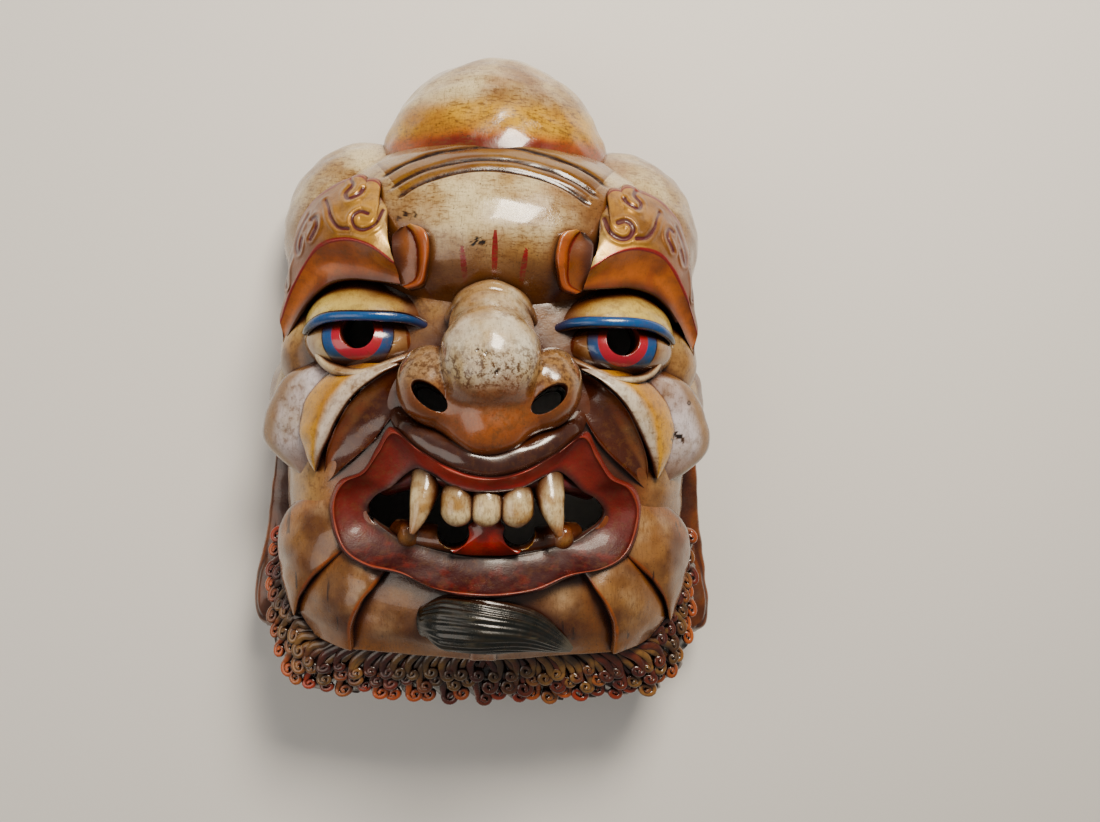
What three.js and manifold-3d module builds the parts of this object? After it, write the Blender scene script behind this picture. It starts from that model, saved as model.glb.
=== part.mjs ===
// A carved and painted wooden cham mask: a wrathful face in one piece of wood, hollowed from behind.
// Millimetres. The mask lies on its open back: +Z is the way the face looks, +Y the top of the head and
// +X the right of someone facing it. The origin is on the back plane, in the middle of the face.
import * as THREE from 'three';
import { LoftGeometry } from 'three/addons/geometries/LoftGeometry.js';
import { mergeVertices } from 'three/addons/utils/BufferGeometryUtils.js';
import Module from 'manifold-3d';

const wasm = await Module();
wasm.setup();

// Driving sizes of the whole carving
const MASK_WIDTH = 316; // ear lobe to ear lobe
const MASK_HEIGHT = 432; // beard fringe to crown
const MASK_DEPTH = 200; // back rim to the tip of the nose
const WALL = 15; // wood left when the face was hollowed, measured along the rays from the hollow

// Sizes that stand by themselves
const PUPIL_RADIUS = 10.5; // the dancer's eye holes
const NOSTRIL_LENGTH = 25;
const NOSTRIL_WIDTH = 12.5;
const TONGUE_HOLE_RADIUS = 10; // the two holes beside the tongue, which the dancer looks through
const LASH_THICKNESS = 7; // the round moulding along each upper lid
const FANG_RADIUS = 10;
const INCISOR_RADIUS = 9.8;
const INCISOR_PITCH = 17.6;
const FRINGE_CURLS = 21; // curls along the edge of the beard fringe
const GROOVE_WIDTH = 4; // the arched grooves across the forehead
const GROOVE_DEPTH = 2.5;

// The carving is laid out on a face 316 wide, 432 high and 200 deep, and follows the driving sizes.
const LAID_OUT = { width: 316, height: 432, depth: 200, middle: 6 };
const SHARE = new THREE.Vector3(
  MASK_WIDTH / LAID_OUT.width,
  MASK_HEIGHT / LAID_OUT.height,
  MASK_DEPTH / LAID_OUT.depth,
);
const at = (x, y, z) => new THREE.Vector3(x, y - LAID_OUT.middle, z).multiply(SHARE);
const onSide = (side, points) => points.map(([x, y, z]) => at(side * x, y, z));
const sized = (wide, deep) => [wide * SHARE.x, deep * SHARE.z];

const TURN = 2 * Math.PI;
const JOIN = 0.8; // edges shorter than this close up where carved forms meet
const DEEP = 34; // how far a carved form reaches back into the wood behind it

// Small numeric helpers
const mix = THREE.MathUtils.lerp;
const smooth = THREE.MathUtils.smoothstep;
const steps = (count) => Array.from({ length: count + 1 }, (_, i) => i / count);
const bump = (t) => Math.sin(Math.PI * THREE.MathUtils.clamp(t, 0, 1));
const curveThrough = (points, closed = false) =>
  new THREE.CatmullRomCurve3(points, closed, 'catmullrom', 0.5);

// A closed geometry as a solid. Its doubled vertices and empty triangles go, and its faces turn outwards.
function solidOf(geometry) {
  const bare = new THREE.BufferGeometry();
  bare.setAttribute('position', geometry.attributes.position);
  bare.setIndex(geometry.index);
  const merged = mergeVertices(bare, 1e-4);
  const place = merged.attributes.position;
  const [a, b, c] = [new THREE.Vector3(), new THREE.Vector3(), new THREE.Vector3()];
  const kept = [];
  let volume = 0;
  for (let i = 0; i < merged.index.count; i += 3) {
    const [p, q, r] = [0, 1, 2].map((k) => merged.index.getX(i + k));
    if (p === q || q === r || r === p) continue;
    kept.push(p, q, r);
    a.fromBufferAttribute(place, p);
    b.fromBufferAttribute(place, q);
    c.fromBufferAttribute(place, r);
    volume += a.dot(b.cross(c));
  }
  if (volume < 0) kept.reverse();
  return new wasm.Manifold(new wasm.Mesh({
    numProp: 3,
    vertProperties: place.array,
    triVerts: new Uint32Array(kept),
    tolerance: JOIN,
  }));
}

// A solid through the given sections, closed to a point at both ends, or joined end to end as a ring
function loft(sections, ring = false) {
  const end = (section) => {
    const middle = new THREE.Vector3();
    section.forEach((point) => middle.addScaledVector(point, 1 / section.length));
    return section.map(() => middle);
  };
  const closed = ring ? sections : [end(sections[0]), ...sections, end(sections[sections.length - 1])];
  return solidOf(new LoftGeometry(closed));
}

// A round bar along a curve. radius gives its half width across the face and its half depth at each step.
function bar(curve, radius, length = 8, around = 8) {
  return loft(
    steps(length).map((u) => {
      const middle = curve.getPointAt(u);
      const run = curve.getTangentAt(u);
      const depth = new THREE.Vector3(0, 0, 1).addScaledVector(run, -run.z).normalize();
      const across = new THREE.Vector3().crossVectors(run, depth).normalize();
      const [wide, deep] = radius(u);
      return steps(around).slice(1).map((t) =>
        middle.clone()
          .addScaledVector(across, wide * Math.cos(TURN * t))
          .addScaledVector(depth, deep * Math.sin(TURN * t)));
    }),
  );
}

// An egg shape
function egg(centre, radii, around = 12) {
  const geometry = new THREE.SphereGeometry(1, around, 2 * Math.round(around * 0.35));
  geometry.rotateX(Math.PI / 2);
  geometry.scale(radii[0] * SHARE.x, radii[1] * SHARE.y, radii[2] * SHARE.z);
  geometry.translate(...at(...centre).toArray());
  return solidOf(geometry);
}

// A petal between two edges that run side by side. Its face swells between them, and its back is sunk.
function petal(side, first, second, { swell = 8, deep = DEEP, length = 6, across = 4, round = 0.5 } = {}) {
  const [from, to] = [first, second].map((points) => curveThrough(onSide(side, points)));
  return loft(
    steps(length).map((u) => {
      const [a, b] = [from.getPoint(u), to.getPoint(u)];
      const face = steps(across).map((v) => {
        const point = a.clone().lerp(b, v);
        point.z += swell * SHARE.z * bump(v) ** round * bump(mix(0.12, 0.9, u)) ** 0.6;
        return point;
      });
      const back = [b, a].map(({ x, y, z }) => new THREE.Vector3(x * 0.96, y, z - deep * SHARE.z));
      return [...face, ...back];
    }),
  );
}

// Rounded masses blended into one form. Along each ray from its heart the furthest mass counts, softened
// where two of them meet.
function massReach(from, ray, [centre, radii]) {
  const scale = new THREE.Vector3(...radii);
  const o = from.clone().sub(new THREE.Vector3(...centre)).divide(scale);
  const d = ray.clone().divide(scale);
  const [a, b, c] = [d.dot(d), 2 * o.dot(d), o.dot(o) - 1];
  const inside = b * b - 4 * a * c;
  return inside < 0 ? 0 : (-b + Math.sqrt(inside)) / (2 * a);
}

function blended(reaches, softness) {
  const most = Math.max(...reaches);
  const total = reaches.reduce((sum, reach) => sum + Math.exp((reach - most) / softness), 0);
  return most + softness * Math.log(total);
}

// The form seen from its heart, as rings of rays from straight ahead round to the given tilt
function starForm(heart, reachOf, { tilt = Math.PI / 2, rings, around, sunk = 0 }) {
  const sections = steps(rings).slice(1).map((u) =>
    steps(around).slice(1).map((t) => {
      const ray = new THREE.Vector3(
        Math.sin(u * tilt) * Math.cos(TURN * t),
        Math.sin(u * tilt) * Math.sin(TURN * t),
        Math.cos(u * tilt),
      );
      return at(...heart.clone().addScaledVector(ray, reachOf(ray)).toArray());
    }));
  const last = sections[rings - 1];
  const below = last.map((point) => new THREE.Vector3(point.x, point.y, point.z - sunk * SHARE.z));
  return loft(sunk > 0 ? [...sections, below] : sections);
}

// Head: skull and jaw with the muzzle and the chin, then the crown, the side lobes and the forehead, which
// meet in creases. The hollow follows them one wall further in, and leaves the lobes thick.
const HEAD_HEART = new THREE.Vector3(0, -10, 0);
const SKULL = { width: 137, height: 178, depth: 136, roundAbove: 2.5, roundBelow: 3.8 };
const MUZZLE = [[0, -70, 60], [96, 62, 96]];
const CHIN = [[0, -132, 50], [112, 46, 86]];
const CROWN = [[0, 138, 40], [80, 84, 72]];
const FOREHEAD = [[0, 90, 40], [126, 76, 114]];
const LOBES = [-1, 1].map((side) => [[side * 84, 98, 26], [62, 66, 70]]);
const SOCKETS = [-1, 1].map((side) => [[side * 88, 30, 70], [44, 34, 46]]);

function skullReach(ray) {
  const round = mix(SKULL.roundBelow, SKULL.roundAbove, smooth(ray.y, -0.4, 0.4));
  const sum = Math.abs(ray.x / SKULL.width) ** round
    + Math.abs(ray.y / SKULL.height) ** round
    + Math.abs(ray.z / SKULL.depth) ** round;
  return sum ** (-1 / round);
}

const headReach = (ray, masses) =>
  blended([skullReach(ray), ...masses.map((mass) => massReach(HEAD_HEART, ray, mass))], 4);

function head() {
  const masses = [MUZZLE, CHIN, ...SOCKETS];
  const skull = starForm(HEAD_HEART, (ray) => headReach(ray, masses), { rings: 10, around: 24 });
  return [skull, egg(...CROWN, 16), egg(...FOREHEAD, 16), ...LOBES.map((lobe) => egg(...lobe, 12))];
}

// The arched grooves across the forehead, cut as V-shaped channels between the brows and under the crown
const GROOVE_HEART = { x: 0, y: 30 };
const GROOVE_ARCS = [99, 107, 118];
const GROOVE_REACH = 0.63; // radians to either side of the middle

function groove(radius) {
  const [[cx, cy, cz], [rx, ry, rz]] = FOREHEAD;
  const rib = (turn, arm, lift) => {
    const [x, y] = [GROOVE_HEART.x + arm * Math.sin(turn), GROOVE_HEART.y + arm * Math.cos(turn)];
    const rise = 1 - ((x - cx) / rx) ** 2 - ((y - cy) / ry) ** 2;
    return at(x, y, cz + rz * Math.sqrt(Math.max(rise, 0)) + lift);
  };
  return loft(steps(8).map((u) => {
    const turn = mix(-GROOVE_REACH, GROOVE_REACH, u);
    const bed = -GROOVE_DEPTH * bump(mix(0.08, 0.92, u)) ** 0.4;
    return [
      rib(turn, radius - GROOVE_WIDTH, -bed), rib(turn, radius, bed), rib(turn, radius + GROOVE_WIDTH, -bed),
    ];
  }));
}

function hollow() {
  const masses = [MUZZLE, CHIN, CROWN, FOREHEAD];
  return starForm(HEAD_HEART, (ray) => headReach(ray, masses) - WALL, { rings: 7, around: 24, sunk: 5 });
}

// Brows: thick shelves that bend round the temple, with cloud lobes along the top.
function brow(side) {
  const below = curveThrough(onSide(side, [
    [134, 20, 92], [118, 43, 112], [103, 56, 126], [88, 60, 133], [72, 59, 139], [55, 57, 143],
  ]));
  const ridge = curveThrough(onSide(side, [
    [136, 34, 94], [124, 56, 116], [107, 77, 136], [90, 82, 147], [73, 78, 153], [58, 68, 154],
  ]));
  const above = curveThrough(onSide(side, [
    [136, 48, 80], [128, 94, 88], [113, 114, 102], [90, 124, 114], [73, 117, 126], [66, 92, 138],
  ]));
  return loft(
    steps(10).map((u) => {
      const [low, mid, top] = [below.getPoint(u), ridge.getPoint(u), above.getPoint(u)];
      const lobes = 4 * Math.abs(Math.sin(Math.PI * 3 * u)) * smooth(u, 0.1, 0.4);
      top.y += lobes * SHARE.y;
      const face = [low, low.clone().lerp(mid, 0.5), mid];
      const gilt = [0.35, 0.7, 1].map((v) => {
        const point = mid.clone().lerp(top, v);
        point.z += 6 * bump(v) * SHARE.z;
        return point;
      });
      const back = [top, low].map((point) => point.clone().add(at(0, LAID_OUT.middle, -DEEP)));
      return [...face, ...gilt, ...back];
    }),
  );
}

// The inner end of each brow curls up in a leaf, scooped on the side of the temple.
function browHook(side) {
  return petal(side,
    [[50, 54, 142], [41.5, 57, 147], [38.5, 68, 152], [37.5, 80, 154], [41, 89, 153], [49, 92, 152]],
    [[68, 62, 140], [62, 67, 144], [60, 72, 146], [60.5, 78, 148], [60, 85, 149], [55, 90, 150]],
    { swell: -4, length: 6, across: 3 });
}

// Eyes: a ball, a heavy upper lid over it, and a round moulding along the edge of the lid.
const EYE = { centre: [76, 22, 100], radii: [42, 24, 42] };
const PUPIL = { x: 81, y: 28 };
const LID = { centre: [74, 28, 98], radii: [45, 31, 47], edge: 37.5 };

// The lid's lower edge falls away from its middle to both corners.
const lidEdge = (x) => LID.edge - 14 * (Math.abs(x) / LID.radii[0]) ** 4;

const eyeball = (side) => egg([side * EYE.centre[0], ...EYE.centre.slice(1)], EYE.radii, 12);

function lidPoint(side, x, y) {
  const [cx, cy, cz] = LID.centre;
  const [rx, ry, rz] = LID.radii;
  const rise = 1 - (x / rx) ** 2 - ((y - cy) / ry) ** 2;
  return at(side * (cx + x), y, cz + rz * Math.sqrt(Math.max(rise, 0)));
}

function lid(side) {
  const reach = LID.radii[0] * 0.94;
  return loft(
    steps(8).map((u) => {
      const x = mix(-reach, reach, u);
      const top = LID.centre[1] + LID.radii[1] * Math.sqrt(1 - (x / LID.radii[0]) ** 2);
      const high = Math.max(top, lidEdge(x) + 2);
      const face = steps(4).map((v) => lidPoint(side, x, mix(lidEdge(x), high, v)));
      const back = [top + 1, lidEdge(x)].map((y) => at(side * (LID.centre[0] + x), y, LID.centre[2] - 30));
      return [...face, ...back];
    }),
  );
}

function lash(side) {
  const reach = LID.radii[0] * 0.93;
  const path = curveThrough(steps(8).map((u) => {
    const x = mix(-reach, reach, u);
    const point = lidPoint(side, x, lidEdge(x));
    point.z += SHARE.z;
    return point;
  }));
  const thick = (u) => LASH_THICKNESS / 2 * (0.45 + 0.55 * bump(u) ** 0.5);
  return bar(path, (u) => [thick(u), thick(u)], 8, 5);
}

function lowerLid(side) {
  const path = curveThrough(onSide(side, [
    [38, 19, 122], [56, 11, 131], [78, 3, 134], [98, 6, 124], [113, 22, 103],
  ]));
  return bar(path, () => sized(4, 9), 5, 5);
}

// Nose: a broad ball between two wings, a pointed base, a bridge and one wrinkle across its root.
const NOSE_HEART = new THREE.Vector3(0, 4, 138);
const NOSE = [
  [[0, 12, 170], [30, 31, 30]],
  [[0, 36, 150], [26, 36, 25]],
  [[0, -13, 158], [44, 24, 22]],
  [[0, -24, 163], [23, 20, 22]],
  [[36, -2, 156], [19, 23, 24]],
  [[-36, -2, 156], [19, 23, 24]],
];

function nose() {
  const reach = (ray) => blended(NOSE.map((mass) => massReach(NOSE_HEART, ray, mass)), 3);
  return [
    starForm(NOSE_HEART, reach, { tilt: 1.95, rings: 9, around: 16 }),
    egg([0, 51, 151], [27, 9.5, 19], 10),
  ];
}

// Cheeks: three folds on each side, each tucked under the one nearer the nose.
function cheekFolds(side) {
  return [
    petal(side,
      [[54, 9, 140], [67, 2, 144], [80, -9, 144], [91, -24, 139], [103, -47, 128]],
      [[84, 9, 130], [101, 1, 124], [114, -13, 119], [117, -31, 118], [112, -48, 121]],
      { swell: 7 }),
    petal(side,
      [[84, 8, 122], [98, 0, 121], [106, -20, 118], [106, -42, 116], [104, -62, 112]],
      [[112, 10, 106], [130, 0, 101], [143, -20, 93], [146, -42, 90], [130, -63, 96]],
      { swell: 8 }),
    petal(side,
      [[112, 20, 100], [122, 12, 94], [132, 0, 88], [138, -20, 82], [138, -44, 80]],
      [[126, 22, 84], [138, 12, 72], [145, 0, 66], [148, -20, 62], [146, -44, 62]],
      { swell: 3, length: 4, across: 2 }),
  ];
}

// Mouth: a broad lip that stands out all the way round, drawn down in the middle and up over the fangs.
const LIP_CREST = [
  [0, -57, 175], [20, -53, 173], [40, -42, 167], [56, -32, 160], [65, -44, 154], [74, -57, 149],
  [87, -64, 142], [93, -77, 138], [91, -93, 138], [84, -105, 143], [70, -112, 149], [50, -115, 156],
  [28, -123, 162], [0, -126, 164],
];
const LIP_OPENING = [
  [0, -65, 168], [19, -63, 164], [34, -56, 158], [42, -53, 154], [50, -58, 149], [58, -65.5, 144],
  [67, -71, 138], [73, -79, 133], [70, -87, 132], [62, -93, 134], [53, -98, 137], [38, -102, 141],
  [20, -105.5, 144], [0, -107, 146],
];
// The right half of an outline and its mirror image, as one closed curve
const ringCurve = (half) =>
  curveThrough([...onSide(1, half), ...onSide(-1, half.slice(1, -1)).reverse()], true);

function lips() {
  const [crest, opening] = [ringCurve(LIP_CREST), ringCurve(LIP_OPENING)];
  const count = 26;
  return loft(
    steps(count).map((u) => {
      const [outer, inner] = [crest.getPoint(u % 1), opening.getPoint(u % 1)];
      const middle = outer.clone().lerp(inner, 0.5);
      middle.z -= SHARE.z;
      const shoulder = outer.clone().lerp(inner, -0.16);
      shoulder.z -= 9 * SHARE.z;
      const behind = (point, deep) => new THREE.Vector3(point.x, point.y, point.z - deep * SHARE.z);
      return [shoulder, outer, middle, inner, behind(inner, 24), behind(outer, 44)];
    }),
    true,
  );
}

// The hole cut through the face behind the lips
function mouthHole() {
  const [near, far] = [40, 240];
  const opening = ringCurve(LIP_OPENING);
  const outline = (z) => steps(24).slice(1).map((u) => {
    const point = opening.getPoint(u);
    return new THREE.Vector3(point.x * 1.01, point.y, z * SHARE.z);
  });
  return loft([outline(near), outline(far)]);
}

// The glossy roll of the upper lip, under the nose
function upperLipRoll() {
  const half = onSide(1, [[22, -43, 160], [44, -32, 153], [62, -24, 141]]);
  const other = onSide(-1, [[62, -24, 141], [44, -32, 153], [22, -43, 160]]);
  const path = curveThrough([...other, at(0, -48, 162), ...half]);
  const full = (u) => 0.35 + 0.65 * bump(u) ** 0.6;
  return bar(path, (u) => sized(10.5 * full(u), 11 * full(u)), 6, 6);
}

// Teeth and tongue: three round incisors between two fangs above, two stubs below, and a tongue between
// two holes.
function upperTeeth() {
  const gum = curveThrough(onSide(1, [
    [-62, -66, 120], [-34, -58, 144], [0, -64, 152], [34, -58, 144], [62, -66, 120],
  ]));
  const incisors = [-1, 0, 1].map((place) => {
    const x = place * INCISOR_PITCH / SHARE.x;
    const path = curveThrough([at(x, -63, 150), at(x, -70, 157), at(x, -80, 158), at(x, -85.5, 156)]);
    const thick = (u) => INCISOR_RADIUS * mix(0.85, 1, bump(u * 0.9)) * (u > 0.9 ? 0.45 : 1);
    return bar(path, (u) => [thick(u), thick(u)], 3, 6);
  });
  const fangs = [-1, 1].map((side) => {
    const path = curveThrough(onSide(side, [
      [36, -52, 142], [36.5, -62, 150], [39, -76, 157], [44, -91.5, 160],
    ]));
    const thick = (u) => FANG_RADIUS * mix(1, 0.15, u ** 2.4);
    return bar(path, (u) => [thick(u), thick(u)], 4, 6);
  });
  return [bar(gum, () => sized(7, 10), 6, 5), ...incisors, ...fangs];
}

function lowerTeeth() {
  const row = curveThrough(onSide(1, [
    [-52, -95, 116], [-38, -97, 129], [0, -100, 137], [38, -97, 129], [52, -95, 116],
  ]));
  const stubs = [-1, 1].map((side) => {
    const path = curveThrough(onSide(side, [[45, -101, 126], [47, -96, 135], [49, -89, 142]]));
    return bar(path, (u) => sized(mix(9, 3, u * u), mix(9, 3, u * u)), 3, 6);
  });
  return [bar(row, () => sized(8, 12), 6, 5), ...stubs];
}

function tongue() {
  const half = [[-30, 24], [-22, 20], [-10, 8.5], [0, 8], [12, 14]];
  const sections = [118, 138].map((z) => [
    ...half.map(([rise, wide]) => at(wide, -76 + rise, z)),
    ...half.map(([rise, wide]) => at(-wide, -76 + rise, z)).reverse(),
  ]);
  return loft(sections);
}

// Jowls: three overlapping folds on each side run from the lip round the jaw to the chin.
function jowls(side) {
  return [
    petal(side,
      [[86, -106, 133], [96, -114, 132], [106, -124, 127], [115, -137, 118], [120, -152, 107]],
      [[93, -72, 124], [117, -77, 106], [133, -97, 97], [134, -124, 90], [123, -152, 99]],
      { swell: 9, length: 5 }),
    petal(side,
      [[60, -116, 142], [68, -127, 145], [76, -139, 143], [81, -153, 136], [82, -170, 125]],
      [[84, -103, 134], [97, -111, 126], [112, -126, 114], [120, -146, 104], [108, -164, 106]],
      { swell: 7 }),
    petal(side,
      [[-8, -122, 147], [-8, -134, 153], [-8, -148, 153], [-8, -160, 148], [-8, -172, 137]],
      [[62, -116, 136], [78, -125, 131], [88, -140, 124], [90, -156, 120], [88, -171, 114]],
      { swell: 6 }),
  ];
}

// The tuft of black beard, combed to one side
function tuft() {
  const path = curveThrough(onSide(1, [
    [-37, -146, 146], [-26, -145, 153], [0, -146, 159], [28, -150, 154], [54, -164, 139],
  ]));
  return bar(path, (u) => {
    const thick = mix(0.55, 1, smooth(u, 0, 0.18)) * mix(1, 0.12, u ** 3);
    return sized(17 * thick, 11 * thick);
  }, 9, 8);
}

// Beard fringe: a collar round the jaw whose edge breaks into curls.
function fringe() {
  const inner = curveThrough(onSide(1, [
    [-124, -96, 84], [-126, -130, 90], [-112, -162, 100], [-84, -170, 108], [0, -170, 116],
    [84, -170, 108], [112, -162, 100], [126, -130, 90], [124, -96, 84],
  ]));
  const edge = curveThrough(onSide(1, [
    [-137, -96, 70], [-140, -134, 74], [-137, -170, 79], [-128, -191, 83], [-104, -203, 88],
    [0, -206, 96], [104, -203, 88], [128, -191, 83], [137, -170, 79], [140, -134, 74], [137, -96, 70],
  ]));
  return loft(
    steps(FRINGE_CURLS * 3).map((u) => {
      const [near, far] = [inner.getPointAt(u), edge.getPointAt(u)];
      const out = far.clone().sub(near).setZ(0).normalize();
      const curl = Math.min(1, 1.16 * Math.abs(Math.sin(Math.PI * FRINGE_CURLS * u)));
      far.addScaledVector(out, mix(-4, 4, curl) * SHARE.x);
      far.addScaledVector(edge.getTangentAt(u), 4 * curl * SHARE.x);
      const brim = near.clone().lerp(far, 0.72);
      brim.z += mix(5, 8, curl) * SHARE.z;
      const under = far.clone();
      under.z -= 16 * SHARE.z;
      const heel = new THREE.Vector3(near.x * 0.93, near.y * 0.95, near.z - 50 * SHARE.z);
      const root = new THREE.Vector3(near.x * 0.93, near.y * 0.95, near.z - 3 * SHARE.z);
      return [root, brim, far, under, heel];
    }),
  );
}

// Ears: flat against the side of the head, with long lobes that hang down to the fringe.
function ear(side) {
  const stations = [
    { y: 46, front: 60, back: 42, out: 130 },
    { y: 34, front: 66, back: 24, out: 136 },
    { y: 2, front: 66, back: 20, out: 140 },
    { y: -52, front: 50, back: 30, out: 147 },
    { y: -100, front: 52, back: 28, out: 151 },
    { y: -146, front: 56, back: 24, out: 158 },
    { y: -166, front: 54, back: 27, out: 157 },
    { y: -174, front: 46, back: 33, out: 151 },
  ];
  return loft(stations.map(({ y, front, back, out }) => {
    const root = 118;
    const inset = 5;
    return [
      at(side * root, y, front), at(side * (out - inset), y, front), at(side * out, y, front - inset),
      at(side * out, y, back + inset), at(side * (out - inset), y, back), at(side * root, y, back),
    ];
  }));
}

// The holes the dancer sees and breathes through
function eyeHole(side) {
  const hole = new THREE.CylinderGeometry(PUPIL_RADIUS, PUPIL_RADIUS, 140 * SHARE.z, 16);
  hole.rotateX(Math.PI / 2);
  hole.translate(...at(side * PUPIL.x, PUPIL.y, 100).toArray());
  return solidOf(hole);
}

function nostril(side) {
  const hole = new THREE.CylinderGeometry(1, 1, 130 * SHARE.z, 8);
  hole.scale(NOSTRIL_LENGTH / 2, 1, NOSTRIL_WIDTH / 2);
  hole.rotateX(Math.PI / 2);
  hole.rotateZ(side * 0.66);
  hole.rotateX(-0.1);
  hole.translate(...at(side * 34.5, -15, 120).toArray());
  return solidOf(hole);
}

function tongueHole(side) {
  const hole = new THREE.CylinderGeometry(TONGUE_HOLE_RADIUS, TONGUE_HOLE_RADIUS, 90 * SHARE.z, 16);
  hole.rotateX(Math.PI / 2);
  hole.translate(...at(side * 20, -92, 130).toArray());
  return solidOf(hole);
}

// Everything below the back plane, where the carver sawed the block flat
function belowBack() {
  const block = new THREE.BoxGeometry(2 * MASK_WIDTH, 2 * MASK_HEIGHT, MASK_DEPTH);
  block.translate(0, 0, -MASK_DEPTH / 2);
  return solidOf(block);
}

function carve() {
  const { union, difference } = wasm.Manifold;
  const bothSides = (make) => [-1, 1].flatMap(make);
  const face = union([
    ...head(),
    ...nose(),
    ...bothSides((side) => [brow(side), browHook(side)]),
    ...bothSides((side) => [eyeball(side), lowerLid(side)]),
    ...bothSides((side) => [...cheekFolds(side), ...jowls(side), ear(side)]),
    upperLipRoll(),
    tuft(),
    fringe(),
    lips(),
  ]);
  const holes = union([
    hollow(),
    belowBack(),
    mouthHole(),
    ...GROOVE_ARCS.map(groove),
    ...bothSides((side) => [eyeHole(side), nostril(side)]),
  ]);
  // The lids reach over the eye holes, and the teeth and tongue over the mouth hole.
  const lids = difference(union(bothSides((side) => [lid(side), lash(side)])), hollow());
  const teethAndTongue = union([...upperTeeth(), ...lowerTeeth(), tongue()]);
  const mouthParts = difference(teethAndTongue, union(bothSides(tongueHole)));
  const carved = union([difference(face, holes), lids, mouthParts]);
  // Pockets shut in where forms cross come out of decompose inside out, and are left solid.
  return union(carved.decompose().filter((body) => body.volume() > 0));
}

const PAINTED_WOOD = { color: 0xb99a72, roughness: 0.4, metalness: 0 };

function maskMesh() {
  const made = carve().getMesh();
  const geometry = new THREE.BufferGeometry();
  geometry.setAttribute('position', new THREE.BufferAttribute(made.vertProperties, made.numProp));
  geometry.setIndex(new THREE.BufferAttribute(made.triVerts, 1));
  geometry.computeVertexNormals();
  const mesh = new THREE.Mesh(geometry, new THREE.MeshStandardMaterial(PAINTED_WOOD));
  mesh.name = 'mask';
  return mesh;
}

const mask = new THREE.Group();
mask.add(maskMesh());

export default mask;
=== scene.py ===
"""A carved and painted wooden cham mask, lying on its back rim and seen from straight above the face."""

import math

import bpy
import numpy as np
from mathutils import Matrix, Vector


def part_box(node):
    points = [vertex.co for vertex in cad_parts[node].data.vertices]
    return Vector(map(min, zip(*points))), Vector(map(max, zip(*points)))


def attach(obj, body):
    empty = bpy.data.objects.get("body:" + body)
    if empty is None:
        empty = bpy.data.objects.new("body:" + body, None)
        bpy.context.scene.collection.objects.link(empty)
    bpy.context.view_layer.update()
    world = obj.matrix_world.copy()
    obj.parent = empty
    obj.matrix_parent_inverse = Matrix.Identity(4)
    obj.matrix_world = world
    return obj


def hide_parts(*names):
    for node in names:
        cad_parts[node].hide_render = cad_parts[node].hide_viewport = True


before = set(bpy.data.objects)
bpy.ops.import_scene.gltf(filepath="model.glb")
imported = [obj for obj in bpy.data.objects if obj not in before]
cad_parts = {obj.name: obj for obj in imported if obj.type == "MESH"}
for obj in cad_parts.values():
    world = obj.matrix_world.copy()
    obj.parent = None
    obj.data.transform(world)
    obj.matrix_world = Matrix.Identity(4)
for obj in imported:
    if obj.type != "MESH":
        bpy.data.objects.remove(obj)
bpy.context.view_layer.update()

# The camera
# It looks down at the face from a little under 0.8 m, turned a few degrees to the right, with the mask
# leaning clockwise in the picture.
PICTURE_WIDTH, PICTURE_HEIGHT = 1100, 822
FOCAL_PIXELS = 1050
FACE_MIDDLE_PIXEL = (490, 381)
MASK_LEAN = math.radians(1.5)
CAMERA_HEIGHT = 0.780
FACE_MIDDLE_Y = -0.006

across = Vector((math.cos(MASK_LEAN), math.sin(MASK_LEAN), 0))
upwards = Vector((-math.sin(MASK_LEAN), math.cos(MASK_LEAN), 0))
metres_per_pixel = CAMERA_HEIGHT / FOCAL_PIXELS
stand = Vector((0, FACE_MIDDLE_Y, CAMERA_HEIGHT))
aim = Vector((0, FACE_MIDDLE_Y, 0))
aim += across * (PICTURE_WIDTH / 2 - FACE_MIDDLE_PIXEL[0]) * metres_per_pixel
aim -= upwards * (PICTURE_HEIGHT / 2 - FACE_MIDDLE_PIXEL[1]) * metres_per_pixel
backwards = (stand - aim).normalized()
rightwards = upwards.cross(backwards).normalized()
turn = Matrix((rightwards, backwards.cross(rightwards), backwards)).transposed()

lens = bpy.data.cameras.new("camera")
lens.sensor_width = 36
lens.lens = lens.sensor_width * FOCAL_PIXELS / PICTURE_WIDTH
camera = bpy.data.objects.new("camera", lens)
camera.matrix_world = Matrix.Translation(stand) @ turn.to_4x4()
bpy.context.collection.objects.link(camera)
bpy.context.scene.camera = camera

# The head
# The skull and jaw, carved from one block with the muzzle, the chin and the eye sockets, and hollowed from
# behind to an even wall. What shows of it between the folds is stained brown, and the hollow is bare wood.
FACE = {"width": 316, "height": 432, "depth": 200, "middle": 6}
low_corner, high_corner = (np.array(corner) * 1000 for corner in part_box("mask"))
SHARE = (high_corner - low_corner) / (FACE["width"], FACE["height"], FACE["depth"])
WALL = 15
HEAD_HEART = (0, -10, 0)
SKULL = {"width": 137, "height": 178, "depth": 136, "round_above": 2.5, "round_below": 3.8}
MUZZLE = ((0, -70, 60), (96, 62, 96))
CHIN = ((0, -132, 50), (112, 46, 86))
SOCKETS = (((88, 30, 70), (44, 34, 46)), ((-88, 30, 70), (44, 34, 46)))
TEMPLES = (((114, 14, 76), (24, 30, 30)), ((-114, 14, 76), (24, 30, 30)))
CROWN = ((0, 138, 40), (80, 84, 72))
FOREHEAD = ((0, 90, 40), (126, 76, 114))


def smooth(value, start, end):
    """0 before start and 1 after end, easing in and out between them."""
    share = np.clip((np.asarray(value, float) - start) / (end - start), 0, 1)
    return share * share * (3 - 2 * share)


def bump(share):
    """Half a sine wave: 0 at either end of the share and 1 in the middle."""
    return np.sin(np.pi * np.clip(share, 0, 1))


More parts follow.
